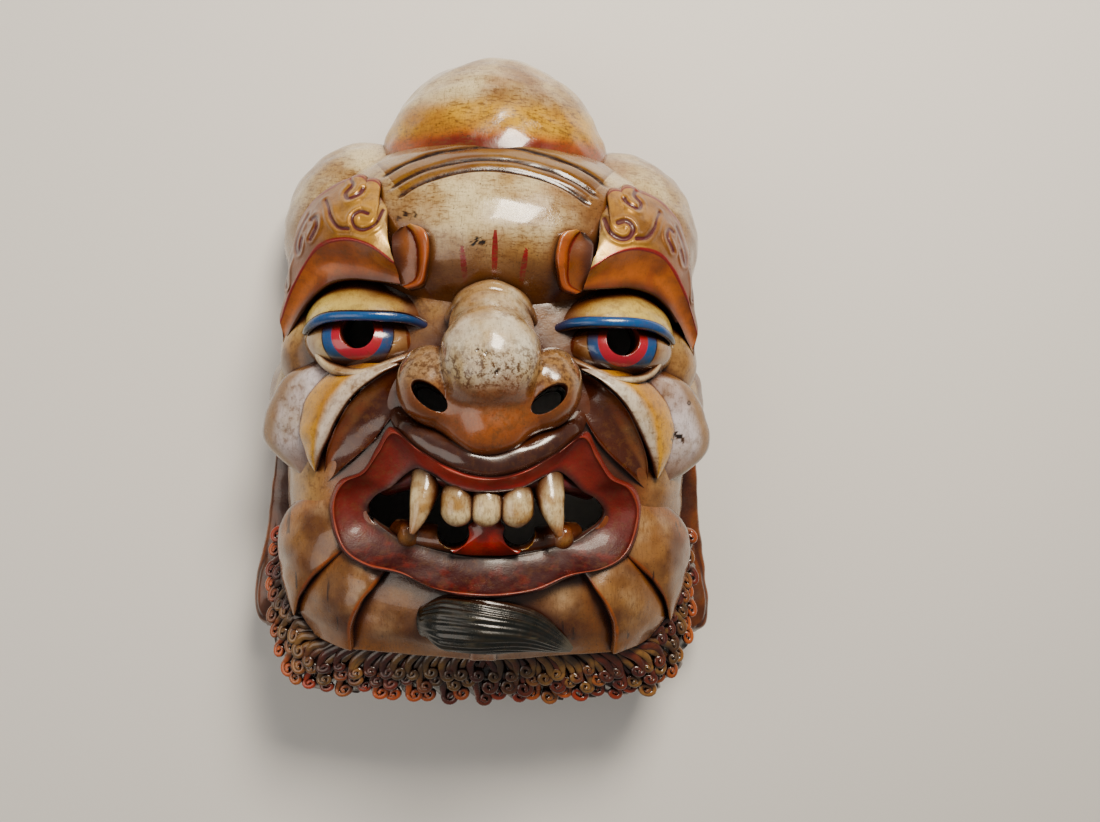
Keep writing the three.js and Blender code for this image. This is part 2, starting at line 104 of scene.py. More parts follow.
def waves(points, wavelength, seed):
    """Smooth unevenness between about -1 and 1: sine waves in a dozen chance directions, added up."""
    chance = np.random.default_rng(seed)
    total = np.zeros(points.shape[:-1])
    for _ in range(12):
        direction = chance.normal(size=3)
        direction *= chance.uniform(0.7, 1.4) * 2 * np.pi / wavelength / np.linalg.norm(direction)
        total += np.sin(points @ direction + chance.uniform(0, 2 * np.pi))
    return total / 4


def facing(grid, ring=False):
    """The outward unit normal at each grid point: the cross product of the steps to its neighbours."""
    along = np.roll(grid, -1, 0) - np.roll(grid, 1, 0) if ring else np.gradient(grid, axis=0)
    around = np.roll(grid, -1, 1) - np.roll(grid, 1, 1)
    normal = np.cross(around, along)
    if np.sum((grid - grid.mean((0, 1))) * normal) < 0:
        normal = -normal
    return normal / np.maximum(np.linalg.norm(normal, axis=2, keepdims=True), 1e-9)


def carved(name, grid, marks=None, ring=False, tooling=0.25):
    """A closed mesh over a grid of points in face millimetres, whose columns run round it. Its first and last
    rows close to their middles, or meet when it is a ring. Tooling is how far the gouge left it uneven."""
    grid = grid + facing(grid, ring) * (
        tooling * waves(grid, 17, 3) + 1.6 * tooling * waves(grid, 52, 5))[..., None]
    rows, columns = grid.shape[:2]
    points = grid.reshape(-1, 3)
    index = np.arange(rows * columns).reshape(rows, columns)
    ahead = np.roll(index, -1, 0) if ring else index[1:]
    here = index if ring else index[:-1]
    quads = np.stack([here, np.roll(here, -1, 1), np.roll(ahead, -1, 1), ahead], -1).reshape(-1, 4)
    faces = quads.tolist()
    if not ring:
        points = np.vstack([points, grid[0].mean(0), grid[-1].mean(0)])
        first, last = index[0], index[-1]
        start, end = rows * columns, rows * columns + 1
        faces += np.stack([np.full(columns, start), np.roll(first, -1), first], -1).tolist()
        faces += np.stack([np.full(columns, end), last, np.roll(last, -1)], -1).tolist()
    a, b, c, d = (points[quads[:, k]] - points.mean(0) for k in range(4))
    if np.einsum("ij,ij->", a + b + c + d, np.cross(c - a, d - b)) < 0:
        faces = [face[::-1] for face in faces]
    mesh = bpy.data.meshes.new(name)
    mesh.from_pydata(((points - (0, FACE["middle"], 0)) * SHARE / 1000).tolist(), [], faces)
    for mark, values in (marks or {}).items():
        values = np.broadcast_to(np.asarray(values, float), (rows, columns)).reshape(-1)
        if not ring:
            values = np.append(values, [values[:columns].mean(), values[-columns:].mean()])
        mesh.attributes.new(mark, "FLOAT", "POINT").data.foreach_set("value", values)
    piece = bpy.data.objects.new(name, mesh)
    bpy.context.collection.objects.link(piece)
    return piece


def cut(piece, *tools):
    """Takes the tools' solids out of the piece and leaves the result in its mesh."""
    for tool in tools:
        step = piece.modifiers.new("cut", "BOOLEAN")
        step.operation = "DIFFERENCE"
        step.solver = "MANIFOLD"
        step.object = tool
    bpy.context.view_layer.update()
    graph = bpy.context.evaluated_depsgraph_get()
    made = bpy.data.meshes.new_from_object(
        piece.evaluated_get(graph), preserve_all_data_layers=True, depsgraph=graph)
    piece.modifiers.clear()
    piece.data = made
    made.name = piece.name
    made.polygons.foreach_set("use_smooth", [True] * len(made.polygons))


def mass_reach(heart, rays, mass):
    """How far each ray from the heart runs before it leaves an egg of the given centre and radii."""
    centre, radii = (np.array(part, float) for part in mass)
    start, run = (np.array(heart) - centre) / radii, rays / radii
    a, b, c = (run ** 2).sum(-1), 2 * (run * start).sum(-1), (start ** 2).sum() - 1
    inside = b * b - 4 * a * c
    return np.where(inside < 0, 0, (-b + np.sqrt(np.maximum(inside, 0))) / (2 * a))


def blended(reaches, softness):
    """The furthest of several reaches, eased over where two of them are nearly equal."""
    most = np.max(reaches, axis=0)
    return most + softness * np.log(sum(np.exp((reach - most) / softness) for reach in reaches))


def star(heart, reach, tilt, rings, around):
    """A form seen from its heart: rings of rays out to the tilt, each as long as its reach."""
    lean, turned = np.meshgrid(
        np.linspace(0, tilt, rings + 1)[1:], np.linspace(0, 2 * np.pi, around, endpoint=False), indexing="ij")
    rays = np.stack([np.sin(lean) * np.cos(turned), np.sin(lean) * np.sin(turned), np.cos(lean)], -1)
    return np.array(heart) + rays * reach(rays)[..., None]


def head_reach(rays, masses):
    """A boxy egg, squarer below than above, blended with the given masses."""
    squareness = SKULL["round_below"] + (SKULL["round_above"] - SKULL["round_below"]) * smooth(
        rays[..., 1], -0.4, 0.4)
    sizes = SKULL["width"], SKULL["height"], SKULL["depth"]
    total = sum(np.abs(rays[..., axis] / size) ** squareness for axis, size in enumerate(sizes))
    skull = total ** (-1 / squareness)
    return blended([skull] + [mass_reach(HEAD_HEART, rays, mass) for mass in masses], 4)


def hollow_reach(rays):
    """The hollow behind the face runs one wall short of the head's form."""
    return head_reach(rays, [MUZZLE, CHIN, CROWN, FOREHEAD]) - WALL


def straight(outline, near, far):
    """A prism over a flat outline, between two depths."""
    return np.stack([np.column_stack([outline, np.full(len(outline), depth)]) for depth in (near, far)])


grid = star(HEAD_HEART, hollow_reach, np.pi / 2, 90, 200)
rim = grid[-1] * (1, 1, 0)
hollow = carved("hollow", np.concatenate([grid[:-1], [rim, rim - (0, 0, 60)]]), tooling=0.5)
corners = np.array([(-300, -300), (300, -300), (300, 300), (-300, 300)])
below_back = carved("below_back", straight(corners, -120, 0), tooling=0)


def through(points, share, closed=False):
    """Points on a Catmull-Rom curve through the given points, at shares of its spans."""
    points = np.asarray(points, float)
    spans = len(points) if closed else len(points) - 1
    if closed:
        run = np.vstack([points[-1:], points, points[:2]])
        place = np.mod(np.asarray(share, float), 1) * spans
    else:
        run = np.vstack([2 * points[0] - points[1], points, 2 * points[-1] - points[-2]])
        place = np.clip(np.asarray(share, float), 0, 1) * spans
    first = np.minimum(place.astype(int), spans - 1)
    part = (place - first)[..., None]
    a, b, c, d = (run[first + k] for k in range(4))
    return 0.5 * (
        2 * b + (c - a) * part + (2 * a - 5 * b + 4 * c - d) * part ** 2
        + (3 * b - a - 3 * c + d) * part ** 3)


def evenly(points, share):
    """Points on the same open curve, at shares of its length."""
    fine = np.linspace(0, 1, 600)
    length = np.append(0, np.cumsum(np.linalg.norm(np.diff(through(points, fine), axis=0), axis=1)))
    return through(points, np.interp(np.asarray(share) * length[-1], length, fine))


def on_side(side, points):
    """The right side's points, or their mirror images for the left."""
    return np.array(points, float) * (side, 1, 1)


def bar(points, radii, length=120, around=32):
    """A round bar along a curve. radii gives its half width across the face and its half depth at a share."""
    share = np.linspace(0, 1, length)
    middle = evenly(points, share)
    run = np.gradient(middle, axis=0)
    run /= np.linalg.norm(run, axis=1, keepdims=True)
    deep = np.array([0, 0, 1.0]) - run * run[:, 2:]
    deep /= np.linalg.norm(deep, axis=1, keepdims=True)
    wide = np.cross(run, deep)
    half_width, half_depth = (np.broadcast_to(size, length) for size in radii(share))
    turned = np.linspace(0, 2 * np.pi, around, endpoint=False)
    return (
        middle[:, None]
        + wide[:, None] * (half_width[:, None] * np.cos(turned))[..., None]
        + deep[:, None] * (half_depth[:, None] * np.sin(turned))[..., None])


def egg(mass, rings, around, tilt=0.995 * np.pi):
    """An egg with its poles front and back, drawn from the front as far round as the tilt."""
    centre, radii = mass
    return star((0, 0, 0), lambda rays: np.ones(rays.shape[:-1]), tilt, rings, around) * radii + centre


LIP_OPENING = (
    (0, -65, 168), (19, -63, 164), (34, -56, 158), (42, -53, 154), (50, -58, 149), (58, -65.5, 144),
    (67, -71, 138), (73, -79, 133), (70, -87, 132), (62, -93, 134), (53, -98, 137), (38, -102, 141),
    (20, -105.5, 144), (0, -107, 146))
NOSTRIL = {"length": 25, "width": 12.5, "slant": 0.66, "centre": (34.5, -15)}
PUPIL = {"radius": 10.5, "centre": (81, 28)}


def both_halves(half):
    """The right half of an outline and its mirror image, as one closed run of points."""
    half = np.array(half, float)
    return np.vstack([half, half[1:-1][::-1] * (-1, 1, 1)])


mouth_outline = through(both_halves(LIP_OPENING), np.linspace(0, 1, 160, endpoint=False), closed=True)[:, :2]
face_holes = [carved("mouth_hole", straight(mouth_outline * (1.01, 1), 40, 240), tooling=0)]
circle = np.linspace(0, 2 * np.pi, 64, endpoint=False)
for side in (-1, 1):
    pupil = np.column_stack([np.cos(circle), np.sin(circle)]) * PUPIL["radius"]
    pupil += (side * PUPIL["centre"][0], PUPIL["centre"][1])
    face_holes.append(carved(f"pupil_hole_{side}", straight(pupil, 30, 170), tooling=0))
    flat = np.column_stack([np.cos(circle) * NOSTRIL["length"], np.sin(circle) * NOSTRIL["width"]]) / 2
    cosine, sine = math.cos(side * NOSTRIL["slant"]), math.sin(side * NOSTRIL["slant"])
    flat = flat @ np.array([(cosine, sine), (-sine, cosine)])
    near, far = (flat + (side * NOSTRIL["centre"][0], NOSTRIL["centre"][1] + drop) for drop in (-6.5, 6.5))
    leaning = np.stack([straight(near, 55, 55)[0], straight(far, 185, 185)[0]])
    face_holes.append(carved(f"nostril_hole_{side}", leaning, tooling=0))


def rgb(code):
    """A colour from its six-figure code, in linear values, a little deeper than read, as varnish pales it."""
    parts = np.array([int(code[k:k + 2], 16) / 255 for k in (0, 2, 4)])
    linear = np.where(parts <= 0.04045, parts / 12.92, ((parts + 0.055) / 1.055) ** 2.8)
    return (*linear.tolist(), 1.0)


class Paint:
    """One material, built step by step. Each step takes sockets or plain values, and gives a socket."""

    def __init__(self, name):
        self.material = bpy.data.materials.new(name)
        self.material.use_nodes = True
        self.nodes, self.links = self.material.node_tree.nodes, self.material.node_tree.links
        self.shader = self.nodes["Principled BSDF"]
        self.colour = None

    def step(self, kind, **inputs):
        """A node with the given inputs plugged in, by name, with _ for a space and _0 for the first place."""
        made = self.nodes.new(kind)
        for name, value in inputs.items():
            spot = made.inputs[int(name[1:]) if name[1:].isdigit() else name.replace("_", " ")]
            if isinstance(value, bpy.types.NodeSocket):
                self.links.new(value, spot)
            else:
                spot.default_value = value
        return made

    def place(self, stretch=(1, 1, 1)):
        """Object coordinates, stretched."""
        spot = self.step("ShaderNodeTexCoord").outputs["Object"]
        return self.step("ShaderNodeMapping", Vector=spot, Scale=stretch).outputs[0]

    def along(self, axis):
        """One coordinate of the point, in metres."""
        spot = self.step("ShaderNodeTexCoord").outputs["Object"]
        return self.step("ShaderNodeSeparateXYZ", Vector=spot).outputs[axis]

    def mark(self, name):
        """A value that the mesh carries at each of its points."""
        made = self.step("ShaderNodeAttribute")
        made.attribute_name = name
        return made.outputs["Fac"]

    def noise(self, scale, detail=3, stretch=(1, 1, 1), roughness=0.55):
        return self.step(
            "ShaderNodeTexNoise", Vector=self.place(stretch), Scale=scale, Detail=detail,
            Roughness=roughness).outputs["Fac"]

    def ramp(self, value, start, end, low=0.0, high=1.0):
        """low before start, high after end, and eased between them."""
        made = self.step(
            "ShaderNodeMapRange", Value=value, From_Min=start, From_Max=end, To_Min=low, To_Max=high)
        made.interpolation_type = "SMOOTHSTEP"
        return made.outputs[0]

    def sum(self, operation, first, second=0.5, third=0.5):
        made = self.step("ShaderNodeMath", _0=first, _1=second, _2=third)
        made.operation = operation
        return made.outputs[0]

    def line(self, value, middle, half_width, soft):
        """1 where the value lies within half_width of the middle, fading over soft."""
        away = self.sum("ABSOLUTE", self.sum("SUBTRACT", value, middle))
        return self.ramp(away, half_width - soft / 2, half_width + soft / 2, 1, 0)

    def over(self, below, colour, share, blend="MIX"):
        """A colour laid over another for a share."""
        made = self.nodes.new("ShaderNodeMix")
        made.data_type = "RGBA"
        made.blend_type = blend
        for spot, value in ((0, share), (6, below), (7, colour)):
            if isinstance(value, bpy.types.NodeSocket):
                self.links.new(value, made.inputs[spot])
            else:
                made.inputs[spot].default_value = value
        return made.outputs[2]

    def base(self, first, second, scale=30, detail=4, balance=(0.35, 0.65)):
        """Starts with two colours of paint in soft patches."""
        self.colour = rgb(first)
        self.lay(second, self.noise(scale, detail), *balance)

    def recess(self, reach):
        """How shut in a point is by what stands within reach of it: 0 in the open, 1 deep in a crease."""
        made = self.step("ShaderNodeAmbientOcclusion", Distance=reach)
        made.samples = 8
        return self.sum("SUBTRACT", 1.0, made.outputs["AO"])

    def lay(self, code, value, start=None, end=None, low=0.0, high=1.0, blend="MIX"):
        """Lays a colour over what is there for a share, or eased in as a value passes from start to end. The
        value may be the name of a mark."""
        value = self.mark(value) if isinstance(value, str) else value
        share = value if start is None else self.ramp(value, start, end, low, high)
        self.colour = self.over(self.colour, rgb(code), share, blend)

    def aged_and_shaded(self, wear=0.5, grime_and_shade=0.9, streaks=(1, 1, 1), soot_and_shade="5A2E0E"):
        """Years of handling and smoke: brown varnish in patches, mottling, bristle marks and specks. The
        browning in the hollows and the grime that gathers in the creases are painted shade as well: they
        deepen wherever nearby parts shut a point in."""
        thin = self.ramp(self.noise(22, 5), 0.38, 0.68)
        self.lay("B0762E", self.sum("MULTIPLY", thin, 0.75 * wear), blend="MULTIPLY")
        # Brown grime and painted shade in the hollows, deepest where nearby parts close a point in.
        self.lay("A8641E", self.recess(0.06), 0.12, 0.62, 0, grime_and_shade, "MULTIPLY")
        mottled = self.ramp(self.noise(210, 5, streaks, 0.7), 0.47, 0.64)
        mottled = self.sum("MULTIPLY", mottled, self.ramp(self.noise(26, 3), 0.36, 0.60, 0.35 * wear, wear))
        self.lay("6E4A22", mottled)
        self.lay("5E3C1A", self.noise(150, 4, (7, 1, 2), 0.65), 0.50, 0.70, 0, 0.5 * wear)
        self.lay("341E0C", self.noise(850, 3), 0.60, 0.70, 0, 0.85 * wear)
        # Dark grime and painted shade in the creases, and near black in the narrowest of them.
        self.lay(soot_and_shade, self.recess(0.025), 0.12, 0.60, 0, grime_and_shade)
        self.lay("1E0E05", self.recess(0.008), 0.30, 0.85, 0, grime_and_shade)
        return self

    def finish(self, roughness=(0.2, 0.42), coat=0.5, bumps=0.25):
        """Plugs the colour in under varnish, with bare wood in the hollow and along the sawn back."""
        grain = self.ramp(self.noise(90, 5, (6, 1, 6), 0.7), 0.35, 0.7)
        wood = self.over(rgb("7A5230"), rgb("3B2412"), grain)
        bare = self.ramp(self.mark("bare"), 0.3, 0.8)
        self.links.new(self.over(self.colour, wood, bare), self.shader.inputs["Base Color"])
        gloss = self.ramp(self.noise(60, 4), 0.35, 0.65, *roughness)
        self.links.new(self.sum("MULTIPLY_ADD", bare, 0.35, gloss), self.shader.inputs["Roughness"])
        self.shader.inputs["Coat Weight"].default_value = coat
        self.shader.inputs["Coat Roughness"].default_value = 0.1
        height = self.sum("MULTIPLY_ADD", self.noise(900, 3), 0.35, self.noise(140, 4))
        relief = self.step("ShaderNodeBump", Strength=bumps, Distance=0.0012, Height=height)
        self.links.new(relief.outputs[0], self.shader.inputs["Normal"])
        return self.material


def fitted(piece, material, holes=()):
    """Cuts the piece clear of the hollow and the back plane, marks what that laid bare, and paints it."""
    cut(piece, hollow, below_back, *holes)
    spots = np.empty(len(piece.data.vertices) * 3)
    piece.data.vertices.foreach_get("co", spots)
    spots = spots.reshape(-1, 3) * 1000 / SHARE + (0, FACE["middle"], 0) - HEAD_HEART
    distance = np.maximum(np.linalg.norm(spots, axis=1), 1e-6)
    bare = (distance < hollow_reach(spots / distance[:, None]) + 2.5) | (spots[:, 2] < 0.3)
    piece.data.attributes.new("bare", "FLOAT", "POINT").data.foreach_set("value", bare.astype(float))
    piece.data.materials.clear()
    piece.data.materials.append(material)
    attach(piece, "root")
    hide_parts("mask")


def worn_skin():
    """Old tan paint, which the years have browned round the nose and under the eyes."""
    paint = Paint("worn_skin")
    paint.base("B48E56", "7A5428", 24)
    beside = paint.ramp(paint.sum("ABSOLUTE", paint.along("X")), 0.112, 0.084)
    below = paint.ramp(paint.sum("MULTIPLY_ADD", paint.noise(30, 4), 0.02, paint.along("Y")), 0.034, 0.006)
    paint.lay("8A4C18", paint.sum("MULTIPLY", beside, below))
    paint.lay("D2B878", paint.along("Y"), 0.012, 0.034, 0, 0.9)
    return paint.aged_and_shaded(0.7, 0.95, soot_and_shade="4A260C").finish((0.22, 0.42), 0.5)


masses = [MUZZLE, CHIN, *SOCKETS, *TEMPLES]
grid = star(HEAD_HEART, lambda rays: head_reach(rays, masses), np.pi / 2, 150, 290)
fitted(carved("head", grid), worn_skin(), face_holes)

# Crown, forehead and side lobes
# Four domes that meet in creases, painted cream. The forehead has three arched grooves under the crown and
# three red strokes above the nose.
LOBE = ((84, 98, 26), (62, 66, 70))
GROOVES = {"heart": (0, 30), "radii": (99, 107, 118), "reach": 0.63, "depth": 2.2, "half_width": 1.5}
STROKES = ((1, 0, 60, 90), (-16, 0.12, 57, 80), (17, -0.12, 57, 80))
SIDES = ((-1, "left"), (1, "right"))
FOREHEAD_CHIPS = ((-52, 99, 2.2), (-47, 98, 1.4), (-57, 96, 1.2), (-10, 83, 2.4), (-6, 82, 1.5))


def chipped(grid, places):
    """Where paint has come off: 1 at ragged spots round the given places, each with its radius."""
    ragged = 1 + 0.5 * waves(grid, 2.6, 11) + 0.4 * waves(grid, 7, 12)
    off = [np.hypot(grid[..., 0] - x, grid[..., 1] - y) < radius * ragged for x, y, radius in places]
    return np.max(off, axis=0).astype(float)


def dome_paint(name, extra):
    """Old cream paint with bristle marks, and whatever else lies on that dome."""
    paint = Paint(name)
    paint.base("DECFA6", "A98A52", 26, 4)
    extra(paint)
    return paint.aged_and_shaded(0.85, 0.95, (1, 3, 1), "6E4418").finish((0.16, 0.38), 0.6)


def crown_bands(paint):
    """The crown's foot shades from cream through yellow to orange, and to a dusky red in its middle."""
    up = paint.sum("MULTIPLY_ADD", paint.noise(34, 3), 0.008, paint.along("Y"))
    middle = paint.ramp(paint.sum("ABSOLUTE", paint.along("X")), 0.030, 0.060, 1, 0)
    paint.lay("D0A40E", up, 0.184, 0.168, 0, 0.95)
    paint.lay("B8620C", up, 0.161, 0.151, 0, 0.95)
    dusky = paint.sum("MULTIPLY", paint.ramp(up, 0.156, 0.150), middle)
    paint.lay("82301E", dusky)


def forehead_marks(paint):
    """Olive gold between the grooves, dark in them, and three red strokes on the cream below, which browns
    with painted shade towards the brows and the nose root.
    """
    # Painted shade: the cream browns beside the brows low down, and towards the nose root.
    beside = paint.ramp(paint.sum("ABSOLUTE", paint.along("X")), 0.026, 0.060, 0, 0.85)
    low = paint.ramp(paint.along("Y"), 0.118, 0.086)
    paint.lay("8A6230", paint.sum("MULTIPLY", beside, low))
    paint.lay("7A5426", paint.along("Y"), 0.092, 0.054, 0, 0.92)
    paint.lay("8A6412", "arch", 95, 100)
    paint.lay("B09256", "arch", 119, 126, 0, 0.8)
    paint.lay("2A1608", "groove", 0.15, 0.6)
    paint.lay("8E1218", "stroke", 0.35, 0.65)
    paint.lay("1A120C", "chip")


def lobe_foot(paint):
    """The side lobes shade to ochre towards the back and the brows."""
    paint.lay("8E5E2A", paint.along("Y"), 0.126, 0.090, 0, 0.7)
    paint.lay("9E6A2A", paint.along("Z"), 0.058, 0.026, 0, 0.85)


fitted(carved("crown", egg(CROWN, 84, 210, 0.7 * np.pi), tooling=0.4), dome_paint("cream_crown", crown_bands))

lobe_coat = dome_paint("cream_lobe", lobe_foot)
for side, name in SIDES:
    mass = ((side * LOBE[0][0], *LOBE[0][1:]), LOBE[1])
    fitted(carved(f"side_lobe_{name}", egg(mass, 90, 200), tooling=0.4), lobe_coat)

grid = egg(FOREHEAD, 120, 350, 0.56 * np.pi)
x, y = grid[..., 0] - GROOVES["heart"][0], grid[..., 1] - GROOVES["heart"][1]
arch = np.hypot(x, y)
within = smooth(np.abs(np.arctan2(x, y)), GROOVES["reach"] + 0.04, GROOVES["reach"] - 0.04)
groove = within * sum(
    np.exp(-((arch - radius) / GROOVES["half_width"]) ** 2) for radius in GROOVES["radii"])
stroke = np.zeros(arch.shape)
for middle, lean, low, high in STROKES:
    offset = np.abs(grid[..., 0] - middle + lean * (grid[..., 1] - low))
    width = 0.5 + 1.3 * bump((grid[..., 1] - low) / (high - low)) ** 0.6
    inside = (grid[..., 1] > low) & (grid[..., 1] < high)
    stroke = np.maximum(stroke, smooth(offset, width + 0.4, width - 0.4) * inside)
grid = grid - facing(grid) * (GROOVES["depth"] * groove)[..., None]
marks = {"arch": arch * within, "groove": groove, "stroke": stroke, "chip": chipped(grid, FOREHEAD_CHIPS)}
fitted(carved("forehead", grid, marks), dome_paint("cream_forehead", forehead_marks))

# Brows
# Thick shelves that bend round the temples. Their tops are gilded, edged in lobes and cut with red-lined
# scrolls, with a painted highlight of paler gold at their inner ends. Their undersides are orange, browning
# with painted shade towards the lower edge, and a red line runs along the ridge between.
BROW_BELOW = ((134, 20, 92), (118, 43, 112), (103, 56, 126), (88, 60, 133), (72, 59, 139), (55, 57, 143))
BROW_RIDGE = ((136, 34, 94), (124, 56, 116), (107, 77, 136), (90, 82, 147), (73, 78, 153), (58, 68, 154))
BROW_ABOVE = ((136, 48, 80), (128, 94, 88), (113, 114, 102), (90, 124, 114), (73, 117, 126), (66, 92, 138))
BROW_STEPS, BROW_COLUMNS = 270, 44
DEEP = 34
SCROLLS = (
    ((67, 101), (70, 91.5), (76.5, 87.7), (81.8, 89), (84.4, 93.7), (83.4, 97.3), (79.8, 99.4), (75.2, 98)),
    ((89.4, 123), (87.5, 118.7), (91.3, 113.4), (89.4, 108.8), (85, 110), (81.4, 113), (80.4, 115.6)),
    ((86.5, 88.5), (93, 89.8), (98.6, 96.6), (101, 103.5), (104, 109)),
    ((113, 97), (109.5, 98), (108, 92), (112, 84)),
    ((117, 102), (121.3, 94), (124, 83), (121.5, 77), (119, 86)),
    ((128, 76), (130, 66), (130, 56)))


def nearest(grid, points):
    """The distance across the face from each grid point to the nearest of some points."""
    least = np.full(grid.shape[:-1], 1e9)
    for x, y in points:
        np.minimum(least, (grid[..., 0] - x) ** 2 + (grid[..., 1] - y) ** 2, out=least)
    return np.sqrt(least)


share = np.linspace(0, 1, BROW_STEPS)
low, ridge, top = (through(edge, share) for edge in (BROW_BELOW, BROW_RIDGE, BROW_ABOVE))
run = np.gradient(top[:, :2], axis=0)
run /= np.linalg.norm(run, axis=1, keepdims=True)
lobes = 3.5 * np.abs(np.sin(7 * np.pi * share)) ** 0.8 * smooth(share, 0.5, 0.78)
top[:, :2] += np.column_stack([run[:, 1], -run[:, 0]]) * lobes[:, None]
low, ridge, top = low[:, None], ridge[:, None], top[:, None]
part = np.linspace(0, 1, BROW_COLUMNS)[None, :, None]
under = low + (ridge - low) * part
under[..., 2] -= 3 * bump(part[..., 0])
gilt = ridge + (top - ridge) * part
gilt[..., 2] += 6 * bump(part[..., 0])
rolled = np.concatenate([top + (top - ridge) * 0.03 * step - (0, 0, 1.5 * step * step) for step in (1, 2)], 1)
back = np.concatenate([top - (0, 0, DEEP), low - (0, 0, DEEP)], 1)
brow_shape = np.concatenate([under, gilt[:, 1:], rolled, back], 1)
columns = np.arange(brow_shape.shape[1])
at_ridge, at_top = BROW_COLUMNS - 1, 2 * BROW_COLUMNS - 2
from_top = np.linalg.norm((brow_shape - top) * (1, 1, 0.3), axis=2)
marks = {
    "part": np.interp(columns, (0, at_ridge, at_top), (0, 1, 2))[None],
    "ridge": np.linalg.norm(brow_shape - ridge, axis=2) + 20 * (columns > at_top + 2)[None],
    "rim": from_top * np.where(columns > at_ridge, 1, 9)[None],
    "inward": share[:, None],
}
curves = np.vstack([through(scroll, np.linspace(0, 1, 60)) for scroll in SCROLLS])
on_gilt = (columns > at_ridge + 3) & (columns < at_top)
scroll = np.where(on_gilt, nearest(brow_shape, curves), 20.0)
brow_shape[..., 2] += 1.1 * np.exp(-((scroll - 3.0) / 1.2) ** 2) - 1.5 * np.exp(-(scroll / 1.1) ** 2)
marks["scroll"] = scroll


def gilded_brow():
    paint = Paint("gilt_brow")
    above = paint.ramp(paint.mark("part"), 0.98, 1.02)
    paint.colour = rgb("8C5424")
    paint.lay("C99A3E", "inward", 0.25, 0.75)
    # Painted highlight: paler gold towards the inner end, where the gilt catches the light.
    paint.lay("EBD08A", "inward", 0.78, 0.98, 0, 0.8)
    paint.lay("7A4A1E", paint.noise(48, 5), 0.42, 0.68, 0, 0.6)
    # The underside: dark brown at its lower edge by the lid as painted shade, turning orange towards the
    # ridge.
    gilt, paint.colour = paint.colour, rgb("5E2C0C")
    paint.lay("C0701C", "part", 0.0, 0.42)
    paint.lay("8A4412", paint.noise(50, 5), 0.42, 0.66, 0, 0.6)
    paint.colour = paint.over(paint.colour, gilt, above)
    paint.lay("5E1A2C", "scroll", 1.6, 0.9)
    paint.lay("8E2A26", paint.line(paint.mark("rim"), 1.0, 0.8, 0.6))
    paint.lay("9A2420", paint.line(paint.mark("ridge"), 0.0, 1.4, 0.7))
    paint.aged_and_shaded(0.4, 0.75).finish((0.32, 0.5), 0.3)
    clean = paint.ramp(paint.mark("scroll"), 0.9, 1.6, 0, 0.5)
    paint.links.new(paint.sum("MULTIPLY", above, clean), paint.shader.inputs["Metallic"])
    return paint.material


gilded = gilded_brow()
for side, name in SIDES:
    fitted(carved(f"brow_{name}", brow_shape * (side, 1, 1), marks), gilded)

# Brow hooks
# The inner end of each brow curls up in a leaf, scooped on the side of the temple, with a rolled orange rim.
HOOK_RIM = ((50, 54, 142), (41.5, 57, 147), (38.5, 68, 152), (37.5, 80, 154), (41, 89, 153), (49, 92, 152))
HOOK_TEMPLE = ((68, 62, 140), (62, 67, 144), (60, 72, 146), (60.5, 78, 148), (60, 85, 149), (55, 90, 150))
PETAL_STEPS, PETAL_COLUMNS = 90, 36


def petal(first, second, swell=8, roundness=0.5, end=0.0):
    """A form between two edges that run side by side: its face swells between them, and its back is sunk.
    Over the last share of its length, given as its end, it rounds off like a thumb."""
    share, part = np.linspace(0, 1, PETAL_STEPS)[:, None], np.linspace(0, 1, PETAL_COLUMNS)[None]
    a, b = (through(edge, share[:, 0])[:, None] for edge in (first, second))
    closing = 1 - np.sqrt(1 - 0.98 * np.clip((share - 1 + end) / max(end, 0.01), 0, 1) ** 2)[..., None]
    a, b = a + (b - a) * closing / 2, b + (a - b) * closing / 2
    face = a + (b - a) * part[..., None]
    face[..., 2] += swell * bump(part) ** roundness * bump(0.12 + 0.78 * share) ** 0.6
    behind = np.concatenate([b, a], 1) * (0.96, 1, 1) - (0, 0, DEEP)
    return np.concatenate([face, behind], 1)


def petal_marks():
    """How far across and along a petal each point lies. Its sunk back counts as its edges do."""
    over = np.append(np.linspace(0, 1, PETAL_COLUMNS), (1, 0))[None]
    return {"over": over, "along": np.linspace(0, 1, PETAL_STEPS)[:, None]}


def orange_hook():
    paint = Paint("orange_hook")
    paint.colour = rgb("93591E")
    paint.lay("4E260C", "over", 0.55, 0.95)
    paint.lay("62300E", paint.noise(60, 4), 0.4, 0.7, 0, 0.6)
    scoop, paint.colour = paint.colour, rgb("A8580E")
    paint.lay("D49A4A", "along", 0.7, 1.0)
    paint.colour = paint.over(paint.colour, scoop, paint.ramp(paint.mark("rim"), 0.97, 1.03))
    paint.lay("86160E", paint.line(paint.mark("rim"), 1.0, 0.12, 0.08))
    return paint.aged_and_shaded(0.35, 0.8).finish()


hook_coat = orange_hook()
for side, name in SIDES:
    shape = petal(on_side(side, HOOK_RIM), on_side(side, HOOK_TEMPLE), swell=-4, roundness=1)
    marks = petal_marks()
    marks["rim"] = marks["over"] / (0.22 + 0.28 * marks["along"] ** 1.5)
    rolled = np.sqrt(np.maximum(1 - (2 * marks["rim"] - 1) ** 2, 0)) * bump(0.1 + 0.8 * marks["along"])
    shape[..., 2] += 4.5 * rolled * (np.arange(shape.shape[1]) < PETAL_COLUMNS)
    fitted(carved(f"brow_hook_{name}", shape, marks), hook_coat)

